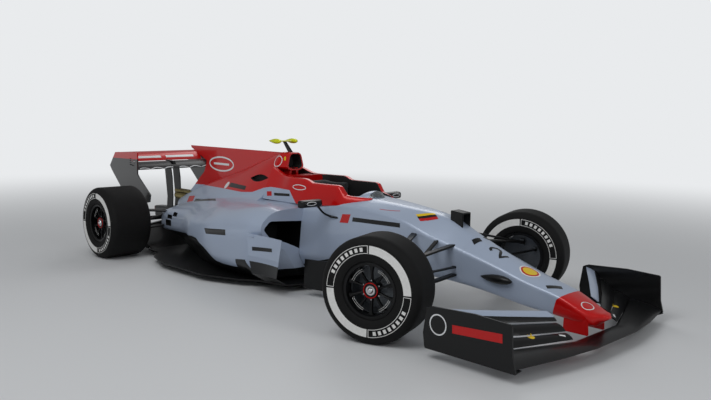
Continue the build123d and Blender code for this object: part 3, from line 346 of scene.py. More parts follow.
hull_rows = [
    # x, top_z, top_half, shoulder_z, shoulder_half, lower_z, lower_half, keel_z, keel_half
    (1134, 219, 8, 214, 16, 207, 16, 203, 8),
    (1126, 230, 26, 220, 40, 202, 40, 194, 24),
    (1094, 236, 40, 224, 60, 196, 60, 186, 40),
    (1064, 240, 54, 224, 90, 172, 94, 154, 60),
    (1040, 250, 58, 232, 102, 168, 104, 152, 62),
    (860, 322, 46, 310, 124, 192, 122, 172, 80),
    (620, 394, 46, 368, 142, 214, 138, 194, 90),
    (380, 486, 48, 438, 160, 250, 152, 228, 100),
    (150, 584, 50, 494, 177, 276, 166, 254, 112),
    (-100, 690, 58, 552, 198, 290, 186, 266, 122),
    (-380, 727, 80, 650, 216, 276, 214, 240, 140),
    (-750, 757, 110, 700, 240, 262, 262, 190, 160),
    (-930, 764, 150, 708, 254, 262, 292, 120, 180),
    (-1300, 704, 225, 640, 288, 270, 330, 62, 210),
    (-1850, 704, 225, 640, 288, 270, 330, 62, 210),
]
bulkhead_x = 150.0


def hull_ring(x, grow=0.0):
    """Ring of the tub and nose outline at a distance ahead of the front axle."""
    (top_z, top_half, shoulder_z, shoulder_half, lower_z, lower_half, keel_z,
     keel_half) = flowing(hull_rows, x)
    half = [(top_half + grow, top_z + grow, 30), (shoulder_half + grow, shoulder_z, 24),
            (lower_half + grow, lower_z, 40), (keel_half + grow, keel_z - grow, 26)]
    return section(x, both_sides(half))


silver_paint = car_paint("silver_blue_lacquer", silver)
red_paint = car_paint("red_lacquer", red)
tip_line = [(100, 0), (790, 0), (815, 190), (840, 286), (879, 325), (900, 1000), (1200, 1000)]
nose_paint = car_paint("silver_nose_with_red_tip", silver, (red, line_mask(tip_line, False)))


def dark_resin(name, colour, roughness, scale):
    """Bare dark laminate with a fine grain."""
    made, tree, shader, place = new_material(name)
    set_shader(shader, Base_Color=linear(colour), Roughness=roughness)
    bump(tree, shader, noise(tree, place, scale), 0.2, 0.0003)
    return made


def mount(piece, body, node=None):
    """Gives a finished piece its body, and hides the CAD node that it stands for, if any."""
    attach(piece, body)
    if node:
        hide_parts(node)


cockpit_dark = dark_resin("bare_cockpit_carbon", "#0B0C0D", 0.6, 400.0)

nose_shell = shell("nose_shell", [hull_ring(x) for x in stations(1134, bulkhead_x + 0.5, 22)], nose_paint)
mount(nose_shell, "root", "nose_cone")

tub_red_line = [(-1900, 660), (-1460, 668), (-1230, 690), (-1228, 1200), (200, 1200)]
# Below the foot line the tub is black. Ahead of the pods this runs along its lower edge. From x -1356 back it
# reaches up to 545 mm, where the tub's side shows through the pod's inlet, and there the black is painted
# shade of the inlet.
tub_foot_and_inlet_shade_line = [(-1900, 545), (-1356, 545), (-1354, 189), (-995, 291), (-600, 274), (-100, 268),
                 (160, 240)]
tub_paint = car_paint("silver_tub_over_black_foot_and_painted_inlet_shade", silver, (red, line_mask(tub_red_line)),
                      (carbon_black, line_mask(tub_foot_and_inlet_shade_line, False)))
tub_shell = shell("tub_shell", [hull_ring(x) for x in stations(bulkhead_x, -1850, 40)], tub_paint)
opening = [(-905, 112), (-1015, 176), (-1480, 190), (-1540, 150)]
mouth = rounded([(x, y, 40) for x, y in opening] + [(x, -y, 40) for x, y in reversed(opening)])
mouth_rings = [[at(x, y, z) for x, y in mouth] for z in (480, 880)]
cut(tub_shell, shell("cockpit_cutter", mouth_rings, cockpit_dark))
wall_thickness = 30
cavity = [hull_ring(x, -wall_thickness) for x in stations(-130, -1620, 60)]
cut(tub_shell, shell("cavity_cutter", cavity, cockpit_dark))
rack_x, rack_z = 89.7, 378.0
rack_slot = rounded([(rack_x + u * 18, rack_z + v * 9, 8) for u, v in box_corners])
cut(tub_shell, shell("rack_cutter", side_cut(rack_slot, -320, 320), cockpit_dark))
mount(tub_shell, "root", "chassis_tub")


def slab(name, outline, near_y, far_y, material, soft, mirrored=False):
    """Plate cut to an outline (x, z) between two y, its edges eased; on both flanks if mirrored."""
    data = bmesh.new()
    for side in ((1, -1) if mirrored else (1,)):
        face = data.faces.new([data.verts.new(at(x, side * near_y, z)) for x, z in outline])
        grown = bmesh.ops.extrude_face_region(data, geom=[face])
        moved = [v for v in grown["geom"] if isinstance(v, bmesh.types.BMVert)]
        bmesh.ops.translate(data, verts=moved, vec=Vector((0, side * (far_y - near_y) / 1000, 0)))
    bmesh.ops.recalc_face_normals(data, faces=data.faces)
    sharp = [e for e in data.edges if len(e.link_faces) == 2 and e.calc_face_angle(0) > radians(50)]
    bmesh.ops.bevel(data, geom=sharp, offset=soft / 1000, segments=2, affect="EDGES", clamp_overlap=True)
    return place_mesh(name, data, material)


pylon_shape = [(1050, 100), (1046, 180), (1040, 215), (890, 235), (884, 180), (880, 100)]
nose_pylons = slab("nose_pylons", pylon_shape, 92, 106, red_paint, 5, mirrored=True)
mount(nose_pylons, "root")


def lathe(name, centre, profile, material):
    """Body of revolution about a lengthwise line; the profile is the distance ahead and the radius."""
    x, y, z = centre
    around = [2 * pi * k / 28 for k in range(28)]
    rings = [[at(x + u, y + r * cos(turn), z + r * sin(turn)) for turn in around] for u, r in profile]
    return shell(name, rings, material)


duct_outline = [(-56, 600), (51, 560), (51, 730), (-56, 740)]
nose_duct = slab("nose_duct", duct_outline, -46, 46, black_carbon, 3)
bore = [section(x, both_sides([(39, 722, 6), (39, 500, 1)])) for x in (-46, 80)]
cut(nose_duct, shell("bore_cutter", bore, cockpit_dark))
mount(nose_duct, "root", "nose_fittings")
pod_profile = [(-140, 0.5), (-128, 6), (-108, 13), (-80, 20), (-45, 26.5), (0, 30), (40, 28), (70, 22),
               (92, 13.5), (102, 7), (105, 0.5)]
for side, hand in hands:
    camera_pod = lathe(f"{hand}_nose_camera", (440, side * 166, 352), pod_profile, black_carbon)
    mount(camera_pod, "root", "nose_fittings")

# Sidepods: the painted carbon flanks that duct air to the radiators, undercut below and drawn in to the
# tail. Each is one moulding, clipped to the tub and the floor.
pod_rows = [
    # x, then the outline's y and z from the inner top edge out and down to the floor
    (-1390, 256, 650, 560, 640, 668, 560, 690, 490, 640, 410, 470, 330, 330, 100),
    (-1560, 256, 668, 560, 654, 700, 566, 728, 470, 718, 350, 700, 205, 560, 64),
    (-2000, 256, 660, 500, 622, 686, 520, 716, 420, 712, 280, 690, 160, 560, 64),
    (-2500, 256, 616, 400, 556, 596, 450, 622, 380, 618, 262, 540, 216, 470, 64),
    (-2950, 200, 560, 310, 500, 412, 446, 436, 390, 434, 290, 410, 250, 300, 64),
    (-3430, 128, 470, 230, 440, 345, 411, 367, 375, 367, 255, 345, 229, 200, 200),
]
pod_softness = (6, 110, 90, 60, 70, 60, 10)
mouth_x, mouth_y, mouth_lean = -1390, 690, 0.0875
pod_foot_line = [(-3500, 222), (-3430, 228), (-2950, 256), (-2650, 292), (-2450, 314), (-2339, 312),
                 (-2268, 281), (-2147, 244), (-2057, 195), (-2002, 167), (-1905, 157), (-1712, 158),
                 (-1699, 232), (-1565, 246), (-1545, 150), (-1330, 165)]
pod_paint = car_paint("silver_pod_over_black_foot", silver, (carbon_black, line_mask(pod_foot_line, False)))


def pod_points(x):
    """Corners of a pod's section, each with the length of its soft turn."""
    values = flowing(pod_rows, x)
    points = [(values[2 * i], values[2 * i + 1], pod_softness[i]) for i in range(7)]
    return points + [(values[0], values[13], 6)]


def pod_place(x, y, z):
    """Point of a pod's section, slid forward near the mouth, which slants towards the tub."""
    share = max(0.0, (x - pod_rows[1][0]) / (mouth_x - pod_rows[1][0]))
    return at(x + share * mouth_lean * (mouth_y - abs(y)), y, z)


duct_dark = dark_resin("duct_black", "#060606", 0.7, 300.0)

inlet_rows = [
    # x, then the inlet's corners
    (-1382, [(270, 541), (444, 552), (600, 562), (662, 500), (590, 416), (480, 392), (372, 344),
             (270, 293)]),
    (-1699, [(270, 492), (440, 506), (560, 516), (628, 465), (590, 400), (470, 352), (372, 320),
             (270, 290)]),
]
outlets = [
    # corners of each hot air outlet in the tail's flank, x and z
    [(-3168, 428), (-3074, 428), (-3074, 392), (-3168, 388)],
    [(-3292, 392), (-3180, 394), (-3180, 356), (-3284, 354)],
    [(-3330, 340), (-3198, 344), (-3202, 284), (-3324, 280)],
]
for side, hand in hands:
    rings = [[pod_place(x, side * y, z) for y, z in rounded(pod_points(x), 5)]
             for x in stations(mouth_x, -3430, 34)]
    pod = shell(f"{hand}_pod_skin", rings, pod_paint)
    duct = [[pod_place(x, side * y, z) for y, z in rounded([(y, z, 26) for y, z in outline])]
            for x, outline in inlet_rows]
    cut(pod, shell("duct_cutter", duct, duct_dark))
    for corners in outlets:
        hole = rounded([(x, z, 8) for x, z in corners])
        cut(pod, shell("outlet_cutter", side_cut(hole, side * 352, side * 470), duct_dark))
    mount(pod, "root", f"{hand}_sidepod")

radiator_core, tree, shader, place = new_material("radiator_fins")
fins = add(tree, "ShaderNodeTexWave", {"Vector": place, "Scale": 120.0}, bands_direction="Z").outputs[0]
tint(tree, shader, fins, "#0A0A0B", "#2C2E31")
set_shader(shader, Roughness=0.5, Metallic=0.4)
bump(tree, shader, fins, 0.4, 0.001)
dress(radiator_core, "black_carbon", "radiators")
vane_paint = car_paint("silver_vane_over_black_foot", silver,
                       (carbon_black, line_mask([(-1600, 255), (-1000, 255)], False)))
dress(vane_paint, "silver_paint", "sidepod_vanes")

# Engine cover: the red and silver cowl from the roll hoop to the tail with the shark fin on its spine. It
# blends into the pods, and clips off in one piece.
cover_rows = [
    # x, spine_z, spine_half, shoulder_z, shoulder_half, hip_z, hip_half, flare_half, flare_z, base_z
    (-1905, 1050, 78, 930, 128, 760, 236, 345, 648, 560),
    (-2150, 985, 56, 850, 150, 720, 236, 345, 625, 540),
    (-2500, 872, 40, 760, 132, 650, 222, 330, 582, 500),
    (-2950, 742, 30, 650, 108, 590, 168, 250, 518, 440),
    (-3430, 588, 24, 530, 84, 490, 112, 150, 449, 425),
    (-3600, 520, 20, 486, 60, 464, 76, 82, 424, 414),
]
cover_line = [(-3700, 650), (-3032, 673), (-2657, 685), (-2264, 691), (-2086, 706), (-1943, 753),
              (-1832, 771), (-1700, 771)]


def cover_ring(x):
    """Ring of the engine cover's outline."""
    (spine_z, spine_half, shoulder_z, shoulder_half, hip_z, hip_half, flare_half, flare_z,
     base_z) = flowing(cover_rows, x)
    valley_half = hip_half + 0.3 * (flare_half - hip_half)
    valley_z = flare_z + 0.35 * (hip_z - flare_z)
    half = [(spine_half, spine_z, 40), (shoulder_half, shoulder_z, 60), (hip_half, hip_z, 60),
            (valley_half, valley_z, 60), (flare_half, flare_z, 4), (flare_half, base_z - 30, 4)]
    return section(x, both_sides(half), 5)


cover_paint = car_paint("red_over_silver_cowl", silver, (red, line_mask(cover_line)))
cowl = shell("engine_cowl", [cover_ring(x) for x in stations(-1905, -3600, 34)], cover_paint)
leaf_rear, leaf_front, leaf_rise = (-2235, 814), (-1937, 836), 31
for side in (1, -1):
    leaf = []
    for k in range(32):
        share, bow = (k / 16, 1) if k <= 16 else (2 - k / 16, -1)
        middle = [a + (b - a) * share for a, b in zip(leaf_rear, leaf_front)]
        leaf.append((middle[0], middle[1] + bow * leaf_rise * sin(pi * share)))
    cut(cowl, shell("leaf_cutter", side_cut(leaf, side * 130, side * 320), duct_dark))
fin_outline = [(-1905, 1050), (-3455, 1052), (-3442, 1030), (-3168, 912), (-3190, 850), (-3220, 795),
               (-3298, 734), (-3431, 622), (-3560, 530), (-3500, 500), (-2500, 800), (-1905, 1000)]
shark_fin = slab("shark_fin", fin_outline, -4, 4, cover_paint, 1.5)
for piece in (cowl, shark_fin):
    mount(piece, "root", "engine_cover")

# Engine air intake and roll hoop: the box behind and above the cockpit, open at the front, moulded in carbon
# and painted red with a black throat. It stands on two legs that are bonded to the tub.
intake_rows = [
    # x, bottom_z, bottom_half, middle_z, middle_half, top_z, top_half
    (-1800, 905, 56, 930, 96, 1054, 62),
    (-1808, 902, 59, 928, 99, 1057, 65),
    (-1850, 900, 62, 927, 110, 1058, 70),
    (-1905, 896, 66, 926, 124, 1058, 78),
]
throat_rows = [(-1797, 916, 48, 936, 80, 1046, 53), (-1893, 930, 34, 950, 56, 1030, 38)]


def intake_ring(row, reach):
    """Ring of the air intake's outline or of its throat."""
    x, bottom_z, bottom_half, middle_z, middle_half, top_z, top_half = row
    lower_reach = reach * 0.7
    half = [(top_half, top_z, reach), (middle_half, middle_z, lower_reach),
            (bottom_half, bottom_z, lower_reach)]
    return section(x, both_sides(half), 6)


intake_box = shell("intake_box", [intake_ring((x, *flowing(intake_rows, x)), 34)
                                  for x in stations(-1800, -1905, 15)], red_paint)
cut(intake_box, shell("throat_cutter", [intake_ring(row, 30) for row in throat_rows], duct_dark))
mount(intake_box, "root", "roll_hoop_intake")
for side, hand in hands:
    rings = []
    for share in (0.0, 0.33, 0.66, 1.0):
        z = 925 - 221 * share
        y = 31 + 24 * share
        points = [(-1815, y - 13, 8), (-1815, y + 13, 8), (-1900, y + 16, 8), (-1900, y - 16, 8)]
        rings.append([at(x, side * v, z) for x, v in rounded(points)])
    leg = shell(f"{hand}_hoop_leg", rings, red_paint)
    mount(leg, "root", "roll_hoop_intake")

# Cockpit surround: the raised red collar round the cockpit's opening, moulded in carbon over foam and
# pinned to the tub.
surround_rows = [
    # x, outer_half, inner_half, top_z, base_z, foot_half
    (-760, 128, 104, 764, 742, 134),
    (-850, 182, 150, 768, 724, 196),
    (-935, 226, 182, 776, 706, 244),
    (-1010, 236, 190, 848, 694, 262),
    (-1300, 246, 196, 846, 672, 282),
    (-1400, 250, 200, 874, 668, 286),
    (-1560, 244, 200, 872, 668, 286),
    (-1700, 206, 150, 874, 668, 282),
    (-1904, 170, 120, 930, 668, 276),
]
collar_line = [(-1950, 753), (-1832, 771), (-1553, 769), (-1451, 671), (-1440, 300), (-700, 300)]
collar_paint = car_paint("red_collar_over_silver", silver, (red, line_mask(collar_line)))
for side, hand in hands:
    rings = []
    for x in stations(-760, -1904, 26):
        outer, inner, top, base, foot = flowing(surround_rows, x)
        waist = (outer + 0.6 * (foot - outer), base + 0.45 * (top - base), 40)
        points = [(inner, base, 4), (foot, base, 4), waist, (outer, top - 10, 16), (outer - 14, top, 10),
                  (inner, top, 8)]
        rings.append(section(x, points, side=side))
    collar = shell(f"{hand}_collar", rings, collar_paint)
    collar.data.materials.append(cockpit_dark)
    for face in collar.data.polygons:
        if face.normal.y * side < -0.5:
            face.material_index = 1
    mount(collar, "root", "cockpit_surround")
bridge_rings = [section(x, both_sides([(half, 872, 30), (half, 700, 6)]))
                for x, half in ((-1640, 173), (-1700, 152), (-1760, 140))]
collar_bridge = shell("collar_bridge", bridge_rings, red_paint)
mount(collar_bridge, "root", "cockpit_surround")

# Cockpit and roof fittings: seat shell, dash and steering wheel in bare carbon, the headrest pad in cloth
# over foam, a small polycarbonate windscreen in a painted surround, two mirrors on swept carbon stalks, and
# the yellow camera housing on its stalk above the intake.
dress(black_carbon, "black_carbon", "seat", "dash", "steering_wheel")


def smooth_gloss(name, colour, scale, sharpest, dullest, **values):
    """Glass or mirror whose gloss wavers a little."""
    made, tree, shader, place = new_material(name)
    gloss = remap(tree, noise(tree, place, scale), 0.3, 0.7, sharpest, dullest)
    tree.links.new(gloss, shader.inputs["Roughness"])
    set_shader(shader, Base_Color=linear(colour), **values)
    return made


mirror_glass = smooth_gloss("mirror_glass", "#D6DADC", 30.0, 0.02, 0.05, Metallic=1.0)
mirror_centre = (447, 717)
housing_rows = [
    # x, width, height
    (-1104, 214, 56), (-1097, 214, 58), (-1078, 212, 57), (-1060, 200, 50), (-1048, 178, 38),
    (-1042, 150, 22),
]


def box_ring(x, side, width, height, reach):
    """Ring of a rounded box round a mirror's centre."""
    y, z = mirror_centre
    corners = [(y + u * width / 2, z + v * height / 2, reach) for u, v in box_corners]
    return section(x, corners, 5, side)


strut_steps = 6


def smooth_path(points):
    """Points of a smooth line through the given ones."""
    line = []
    longer = [2 * points[0] - points[1]] + points + [2 * points[-1] - points[-2]]
    for a, b, c, d in zip(longer, longer[1:], longer[2:], longer[3:]):
        for k in range(strut_steps):
            t = k / strut_steps
            line.append(0.5 * (2 * b + (c - a) * t + (2 * a - 5 * b + 4 * c - d) * t**2
                               + (3 * b - a - 3 * c + d) * t**3))
    return line + [points[-1]]


def strut(name, points, sizes, material):
    """Streamlined arm along a smooth line; its half width and half thickness go from point to point."""
    line = smooth_path(points)
    turns = [2 * pi * k / 16 for k in range(16)]
    rings = []
    for i, here in enumerate(line):
        run = (line[min(i + 1, len(line) - 1)] - line[max(i - 1, 0)]).normalized()
        level = Vector((1, 0, 0)) - run * run.x
        if level.length < 0.3:
            level = Vector((0, 0, 1)) - run * run.z
        level.normalize()
        other = run.cross(level)
        share = i / strut_steps
        first = min(int(share), len(sizes) - 2)
        a, b = [u + (v - u) * (share - first) for u, v in zip(sizes[first], sizes[first + 1])]
        rings.append([here + level * (a / 1000 * cos(t)) + other * (b / 1000 * sin(t)) for t in turns])
    return shell(name, rings, material)


stalk_route = [(-958, 248, 602), (-990, 262, 604), (-1036, 288, 612), (-1056, 340, 642), (-1062, 396, 700)]
stalk_sizes = [(10, 3), (22, 9), (15, 9), (12, 7), (12, 7)]
for side, hand in hands:
    housing = shell(f"{hand}_mirror_housing", [box_ring(x, side, w, h, 18 if h > 30 else 9)
                                               for x, w, h in housing_rows], black_carbon)
    glass_rings = [box_ring(x, side, 200, 45, 14) for x in (-1105.5, -1103)]
    glass = shell(f"{hand}_mirror_glass", glass_rings, mirror_glass)
    stalk = strut(f"{hand}_mirror_stalk", [at(x, side * y, z) for x, y, z in stalk_route], stalk_sizes,
                  black_carbon)
    for piece in (housing, glass, stalk):
        mount(piece, "root", "mirrors")
screen_clear = smooth_gloss("smoked_polycarbonate", "#C9D3DA", 40.0, 0.04, 0.08, Transmission_Weight=0.9,
                            IOR=1.5)
screen_rows = [
    # x, crown z, base z, half width
    (-936, 752, 744, 120), (-915, 775, 744, 118), (-895, 792, 744, 114), (-870, 802, 744, 108),
    (-845, 807, 744, 100), (-820, 806, 743, 90), (-795, 794, 741, 76), (-770, 776, 738, 56),
    (-748, 758, 736, 30),
]


sheet_thickness = 3


def arch(x, crown, base, half, inset):
    """Half ring of the windscreen, an arch over the cockpit's front edge."""
    turns = [pi * k / 20 for k in range(21)]
    return [at(x, (half - inset) * cos(t), base + (crown - base - inset) * sin(t)) for t in turns]


def screen_part(name, rows, material):
    """Thin curved sheet through the arches of some rows."""
    rings = [arch(*row, 0) + arch(*row, sheet_thickness)[::-1] for row in rows]
    mount(shell(name, rings, material), "root", "windscreen")


screen_part("screen_surround", screen_rows[:6], silver_paint)
screen_part("screen_pane", screen_rows[5:], screen_clear)


def speckled(name, dark, light, scale, detail=2.0, relief=None, **values):
    """Finish that wavers between two tones; the relief, if any, is the grain's strength and depth."""
    made, tree, shader, place = new_material(name)
    grain = noise(tree, place, scale, detail)
    tint(tree, shader, grain, dark, light)
    set_shader(shader, **values)
    if relief:
        bump(tree, shader, grain, *relief)
    return made


pad_cloth = speckled("headrest_cloth", "#101113", "#26282C", 500.0, relief=(0.4, 0.0006), Roughness=0.9,
                     Sheen_Weight=0.2)
pad_mesh = nodes["headrest"].data.copy()
pad_mesh.transform(nodes["headrest"].matrix_world)
pad_mesh.materials.clear()
pad_mesh.materials.append(pad_cloth)
headrest_pad = new_object("headrest_pad", pad_mesh)


def bake(made):
    """Turns an object's modifiers into plain mesh."""
    evaluated = made.evaluated_get(bpy.context.evaluated_depsgraph_get())
    made.data = bpy.data.meshes.new_from_object(evaluated)
    made.modifiers.clear()


def vertex_places(mesh):
    """Places of a mesh's vertices as rows."""
    flat = np.empty(len(mesh.vertices) * 3)
    mesh.vertices.foreach_get("co", flat)
    return flat.reshape(-1, 3)


remesh = headrest_pad.modifiers.new("remesh", "REMESH")
remesh.mode = "VOXEL"
remesh.voxel_size = 0.006
bake(headrest_pad)
for vertex in headrest_pad.data.vertices:
    vertex.co -= vertex.normal * 0.004
before = vertex_places(headrest_pad.data)
cloth = headrest_pad.modifiers.new("swell", "CLOTH")
cloth.settings.use_pressure = True
cloth.settings.uniform_pressure_force = 4.0
cloth.settings.effector_weights.gravity = 0.0
for frame_number in range(1, 21):
    bpy.context.scene.frame_set(frame_number)
bake(headrest_pad)
bpy.context.scene.frame_set(1)
moves = vertex_places(headrest_pad.data) - before
lengths = np.linalg.norm(moves, axis=1, keepdims=True)
places = before + moves * np.minimum(1.0, 0.007 / np.maximum(lengths, 1e-9))
headrest_pad.data.vertices.foreach_set("co", places.ravel())
subdivision = headrest_pad.modifiers.new("smooth", "SUBSURF")
subdivision.levels = 1
bake(headrest_pad)
for face in headrest_pad.data.polygons:
    face.use_smooth = True
mount(headrest_pad, "root", "headrest")
camera_yellow = car_paint("camera_yellow_lacquer", "#D8E000")
camera_x, camera_z, camera_y = -1950, 1150, 92
lobe_profile = [(-104, 0.5), (-92, 4), (-74, 9), (-50, 15), (-24, 20), (0, 22), (22, 21.5), (40, 18.5),
                (54, 13.5), (62, 8), (66, 0.5)]
for side, hand in hands:
    lobe = lathe(f"{hand}_camera_lobe", (camera_x, side * camera_y, camera_z), lobe_profile, camera_yellow)
    mount(lobe, "root", "roof_camera")
bar_outline = [(camera_x - 37, camera_z), (camera_x - 20, camera_z + 5), (camera_x + 10, camera_z + 6.5),
               (camera_x + 32, camera_z + 4), (camera_x + 37, camera_z), (camera_x + 30, camera_z - 4),
               (camera_x, camera_z - 5)]
camera_bar = slab("camera_bar", bar_outline, -90, 90, camera_yellow, 1.5)
stalk_outline = [(-1836, 1058), (-1898, 1058), (-1970, 1147), (-1928, 1147)]
camera_stalk = slab("camera_stalk", stalk_outline, -8, 8, black_carbon, 4)
for piece, slot_name in ((camera_bar, "camera_yellow"), (camera_stalk, "black_carbon")):
    mount(piece, "root", "roof_camera")

# Front wing: moulded carbon elements stacked between two end plates and hung from the nose's two pylons. The
# topmost flap is painted silver above a line and left black below it.
dress(black_carbon, "black_carbon", "front_wing_main_plane", "front_wing_lower_flaps",
      "front_wing_end_plates")
flap_line = [(400, 298), (713, 253), (787, 242), (907, 224), (1100, 200)]
flap_paint = car_paint("silver_flap_over_black", silver, (carbon_black, line_mask(flap_line, False)))
dress(flap_paint, "silver_paint", "front_wing_top_flaps")

# Suspension, engine and gearbox: arms, rods and shafts are streamlined black carbon tubes, the uprights are
# machined from alloy, the engine is a dark casting and the gearbox has a carbon case. All keep the shape of
# the CAD solids.
alloy = speckled("machined_alloy", "#5A5D61", "#7C8085", 180.0, Metallic=0.9, Roughness=0.42)
dress(black_carbon, "black_carbon", "front_suspension", "rear_suspension", "track_rods")
dress(alloy, "upright_alloy", "left_front_upright", "right_front_upright", "rear_uprights")
iron = speckled("cast_engine_metal", "#1C1D1F", "#303236", 90.0, Metallic=0.6, Roughness=0.5)
dress(iron, "engine_iron", "engine_block")
dress(black_carbon, "black_carbon", "gearbox")

# Wheels: slick rubber tyres with a white banded sidewall on black forged magnesium rims. Each rim has ten
# spokes and is held on its hub by six drive pegs and one red central nut.
wheels = {
    # name: width, centre y, steer
    "left_front": (305, 1, "front"), "right_front": (305, -1, "front"),
    "left_rear": (405, 1, "rear"), "right_rear": (405, -1, "rear"),
}
parked_steer = radians(19.25)
tyre_radius = 335.0


def wheel_frame(side, end):
    """Matrix of a wheel: its own z is the axle, outward, its x is up, with millimetres turned to metres."""
    if end == "rear":
        centre, outward = at(-3520, side * 797.5, tyre_radius), Vector((0, side, 0))
    else:
        outward = Vector((-sin(parked_steer), cos(parked_steer), 0)) * side
        centre = at(0, side * 780, tyre_radius) + outward * 0.0675
    up = Vector((0, 0, 1))
    forward = outward.cross(up)
    turn = Matrix((up, forward, outward)).transposed().to_4x4()
    return Matrix.Translation(centre) @ turn @ Matrix.Scale(0.001, 4)


def turned(name, profile, frame_matrix, material, segments):
    """Body of revolution about a wheel's axle; the profile is the radius and the distance along the axle."""
    turns = [2 * pi * k / segments for k in range(segments)]
    rings = [[frame_matrix @ Vector((r * cos(t), r * sin(t), s)) for t in turns] for r, s in profile]
    return shell(name, rings + rings[:1], material, capped=False)


rubber, tree, shader, place = new_material("slick_tyre_rubber")
tint(tree, shader, noise(tree, place, 26.0, 5.0), "#070707", "#111112")
set_shader(shader, Roughness=0.75, Specular_IOR_Level=0.25)
bump(tree, shader, noise(tree, place, 420.0), 0.25, 0.0005)
band_white = speckled("white_sidewall_band", "#D2D2D0", "#ECECEA", 60.0, 4.0, (0.1, 0.0003), Roughness=0.6)
band_inner, band_outer, band_line = 233, 283, 3.5
band_lift = 0.7
rim_inner = 158
rim_black = speckled("black_anodised_rim", "#060607", "#101113", 120.0, Metallic=0.5, Roughness=0.36)
nut_red = speckled("red_anodised_nut", "#B00A0A", "#D81414", 120.0, Metallic=0.7, Roughness=0.3)
bright = speckled("polished_axle_end", "#B8BABD", "#DADBDD", 120.0, Metallic=1.0, Roughness=0.22)


rim_lip = [(177, 17), (177, 22), (168, 26), (164.6, 40)]
centre_pieces = {
    # piece: radius and distance out from the spokes, material, segments
    "hub": ([(30, 26), (44, 22), (52, 12), (52, -8), (30, -8)], rim_black, 64),
    "nut_ring": ([(44, 26), (48, 26), (49, 23), (48, 20), (43, 20), (43, 24)], nut_red, 64),
    "axle_end": ([(0.5, 40), (12, 39), (17, 34), (20, 28), (30, 26), (30, 18), (0.5, 18)], bright, 48),
}
wall_radii = (165, 178, 182, 186, 195, 205, 220, 235, 258, 282, 292, 300, 307, 313, 318, 323, 327, 330,
              333, 335)


def sidewall_s(r, half):
    """Height of the sidewall along the axle at a radius."""
    table = [(165, half - 26), (178, half - 21), (186, half - 10), (205, half - 3), (235, half), (282, half),
             (300, half - 4), (313, half - 11), (323, half - 20), (330, half - 29), (335, half - 44)]
    for (r0, s0), (r1, s1) in zip(table, table[1:]):
        if r <= r1:
            return s0 + (s1 - s0) * (r - r0) / (r1 - r0)
    return table[-1][1]


def band_patch(data, frame_matrix, half, face, inner, outer, start, end):
    """Piece of a ring on one sidewall, from start to end in degrees from the top, clockwise from outside."""
    steps = max(2, int(abs(end - start) / 3))
    rows = []
    for r in (inner, (inner + outer) / 2, outer):
        row = []
        for k in range(steps + 1):
            angle = -radians(start + (end - start) * k / steps)
            s = face * (sidewall_s(r, half) + band_lift)
            row.append(data.verts.new(frame_matrix @ Vector((r * cos(angle), r * sin(angle), s))))
        rows.append(row)
    for first, second in zip(rows, rows[1:]):
        for k in range(steps):
            data.faces.new((first[k], first[k + 1], second[k + 1], second[k]))


def face_outward(made, outward):
    """Turns the faces of loose flat patches to the side that a function of their middle gives."""
    data = bmesh.new()
    data.from_mesh(made.data)
    for face in data.faces:
        if face.normal.dot(outward(face.calc_center_median())) < 0:
            face.normal_flip()
    data.to_mesh(made.data)
    data.free()


def copies_round(name, item, count, material, frame_matrix):
    """Copies of a piece in a ring about its own z axis, laid with Geometry Nodes, then put in a frame."""
    group = bpy.data.node_groups.new(name, "GeometryNodeTree")
    count_socket = group.interface.new_socket("Count", in_out="INPUT", socket_type="NodeSocketInt")
    item_socket = group.interface.new_socket("Item", in_out="INPUT", socket_type="NodeSocketObject")
    group.interface.new_socket("Geometry", in_out="OUTPUT", socket_type="NodeSocketGeometry")
    entry = add(group, "NodeGroupInput")
    points = add(group, "GeometryNodePoints", {"Count": entry.outputs["Count"]})
    number = add(group, "GeometryNodeInputIndex").outputs[0]
    step = reckon(group, "DIVIDE", 2 * pi, entry.outputs["Count"])
    turn = add(group, "ShaderNodeCombineXYZ", {"Z": reckon(group, "MULTIPLY", number, step)})
    rotation = add(group, "FunctionNodeEulerToRotation", {0: turn.outputs[0]})
    piece_info = add(group, "GeometryNodeObjectInfo", {"Object": entry.outputs["Item"]})
    copies = add(group, "GeometryNodeInstanceOnPoints",
                 {"Points": points.outputs[0], "Instance": piece_info.outputs["Geometry"],
                  "Rotation": rotation.outputs[0]})
    real = add(group, "GeometryNodeRealizeInstances", {0: copies.outputs[0]})
    finish = add(group, "GeometryNodeSetMaterial", {"Geometry": real.outputs[0], "Material": material})
    add(group, "NodeGroupOutput", {0: finish.outputs[0]})
    made = new_object(name, bpy.data.meshes.new(name))
    modifier = made.modifiers.new("copies", "NODES")
    modifier.node_group = group
    modifier[count_socket.identifier] = count
    modifier[item_socket.identifier] = item
    bake(made)
    made.data.transform(frame_matrix)
    made.data.set_sharp_from_angle(angle=crease)
    bpy.data.objects.remove(item)
    return made


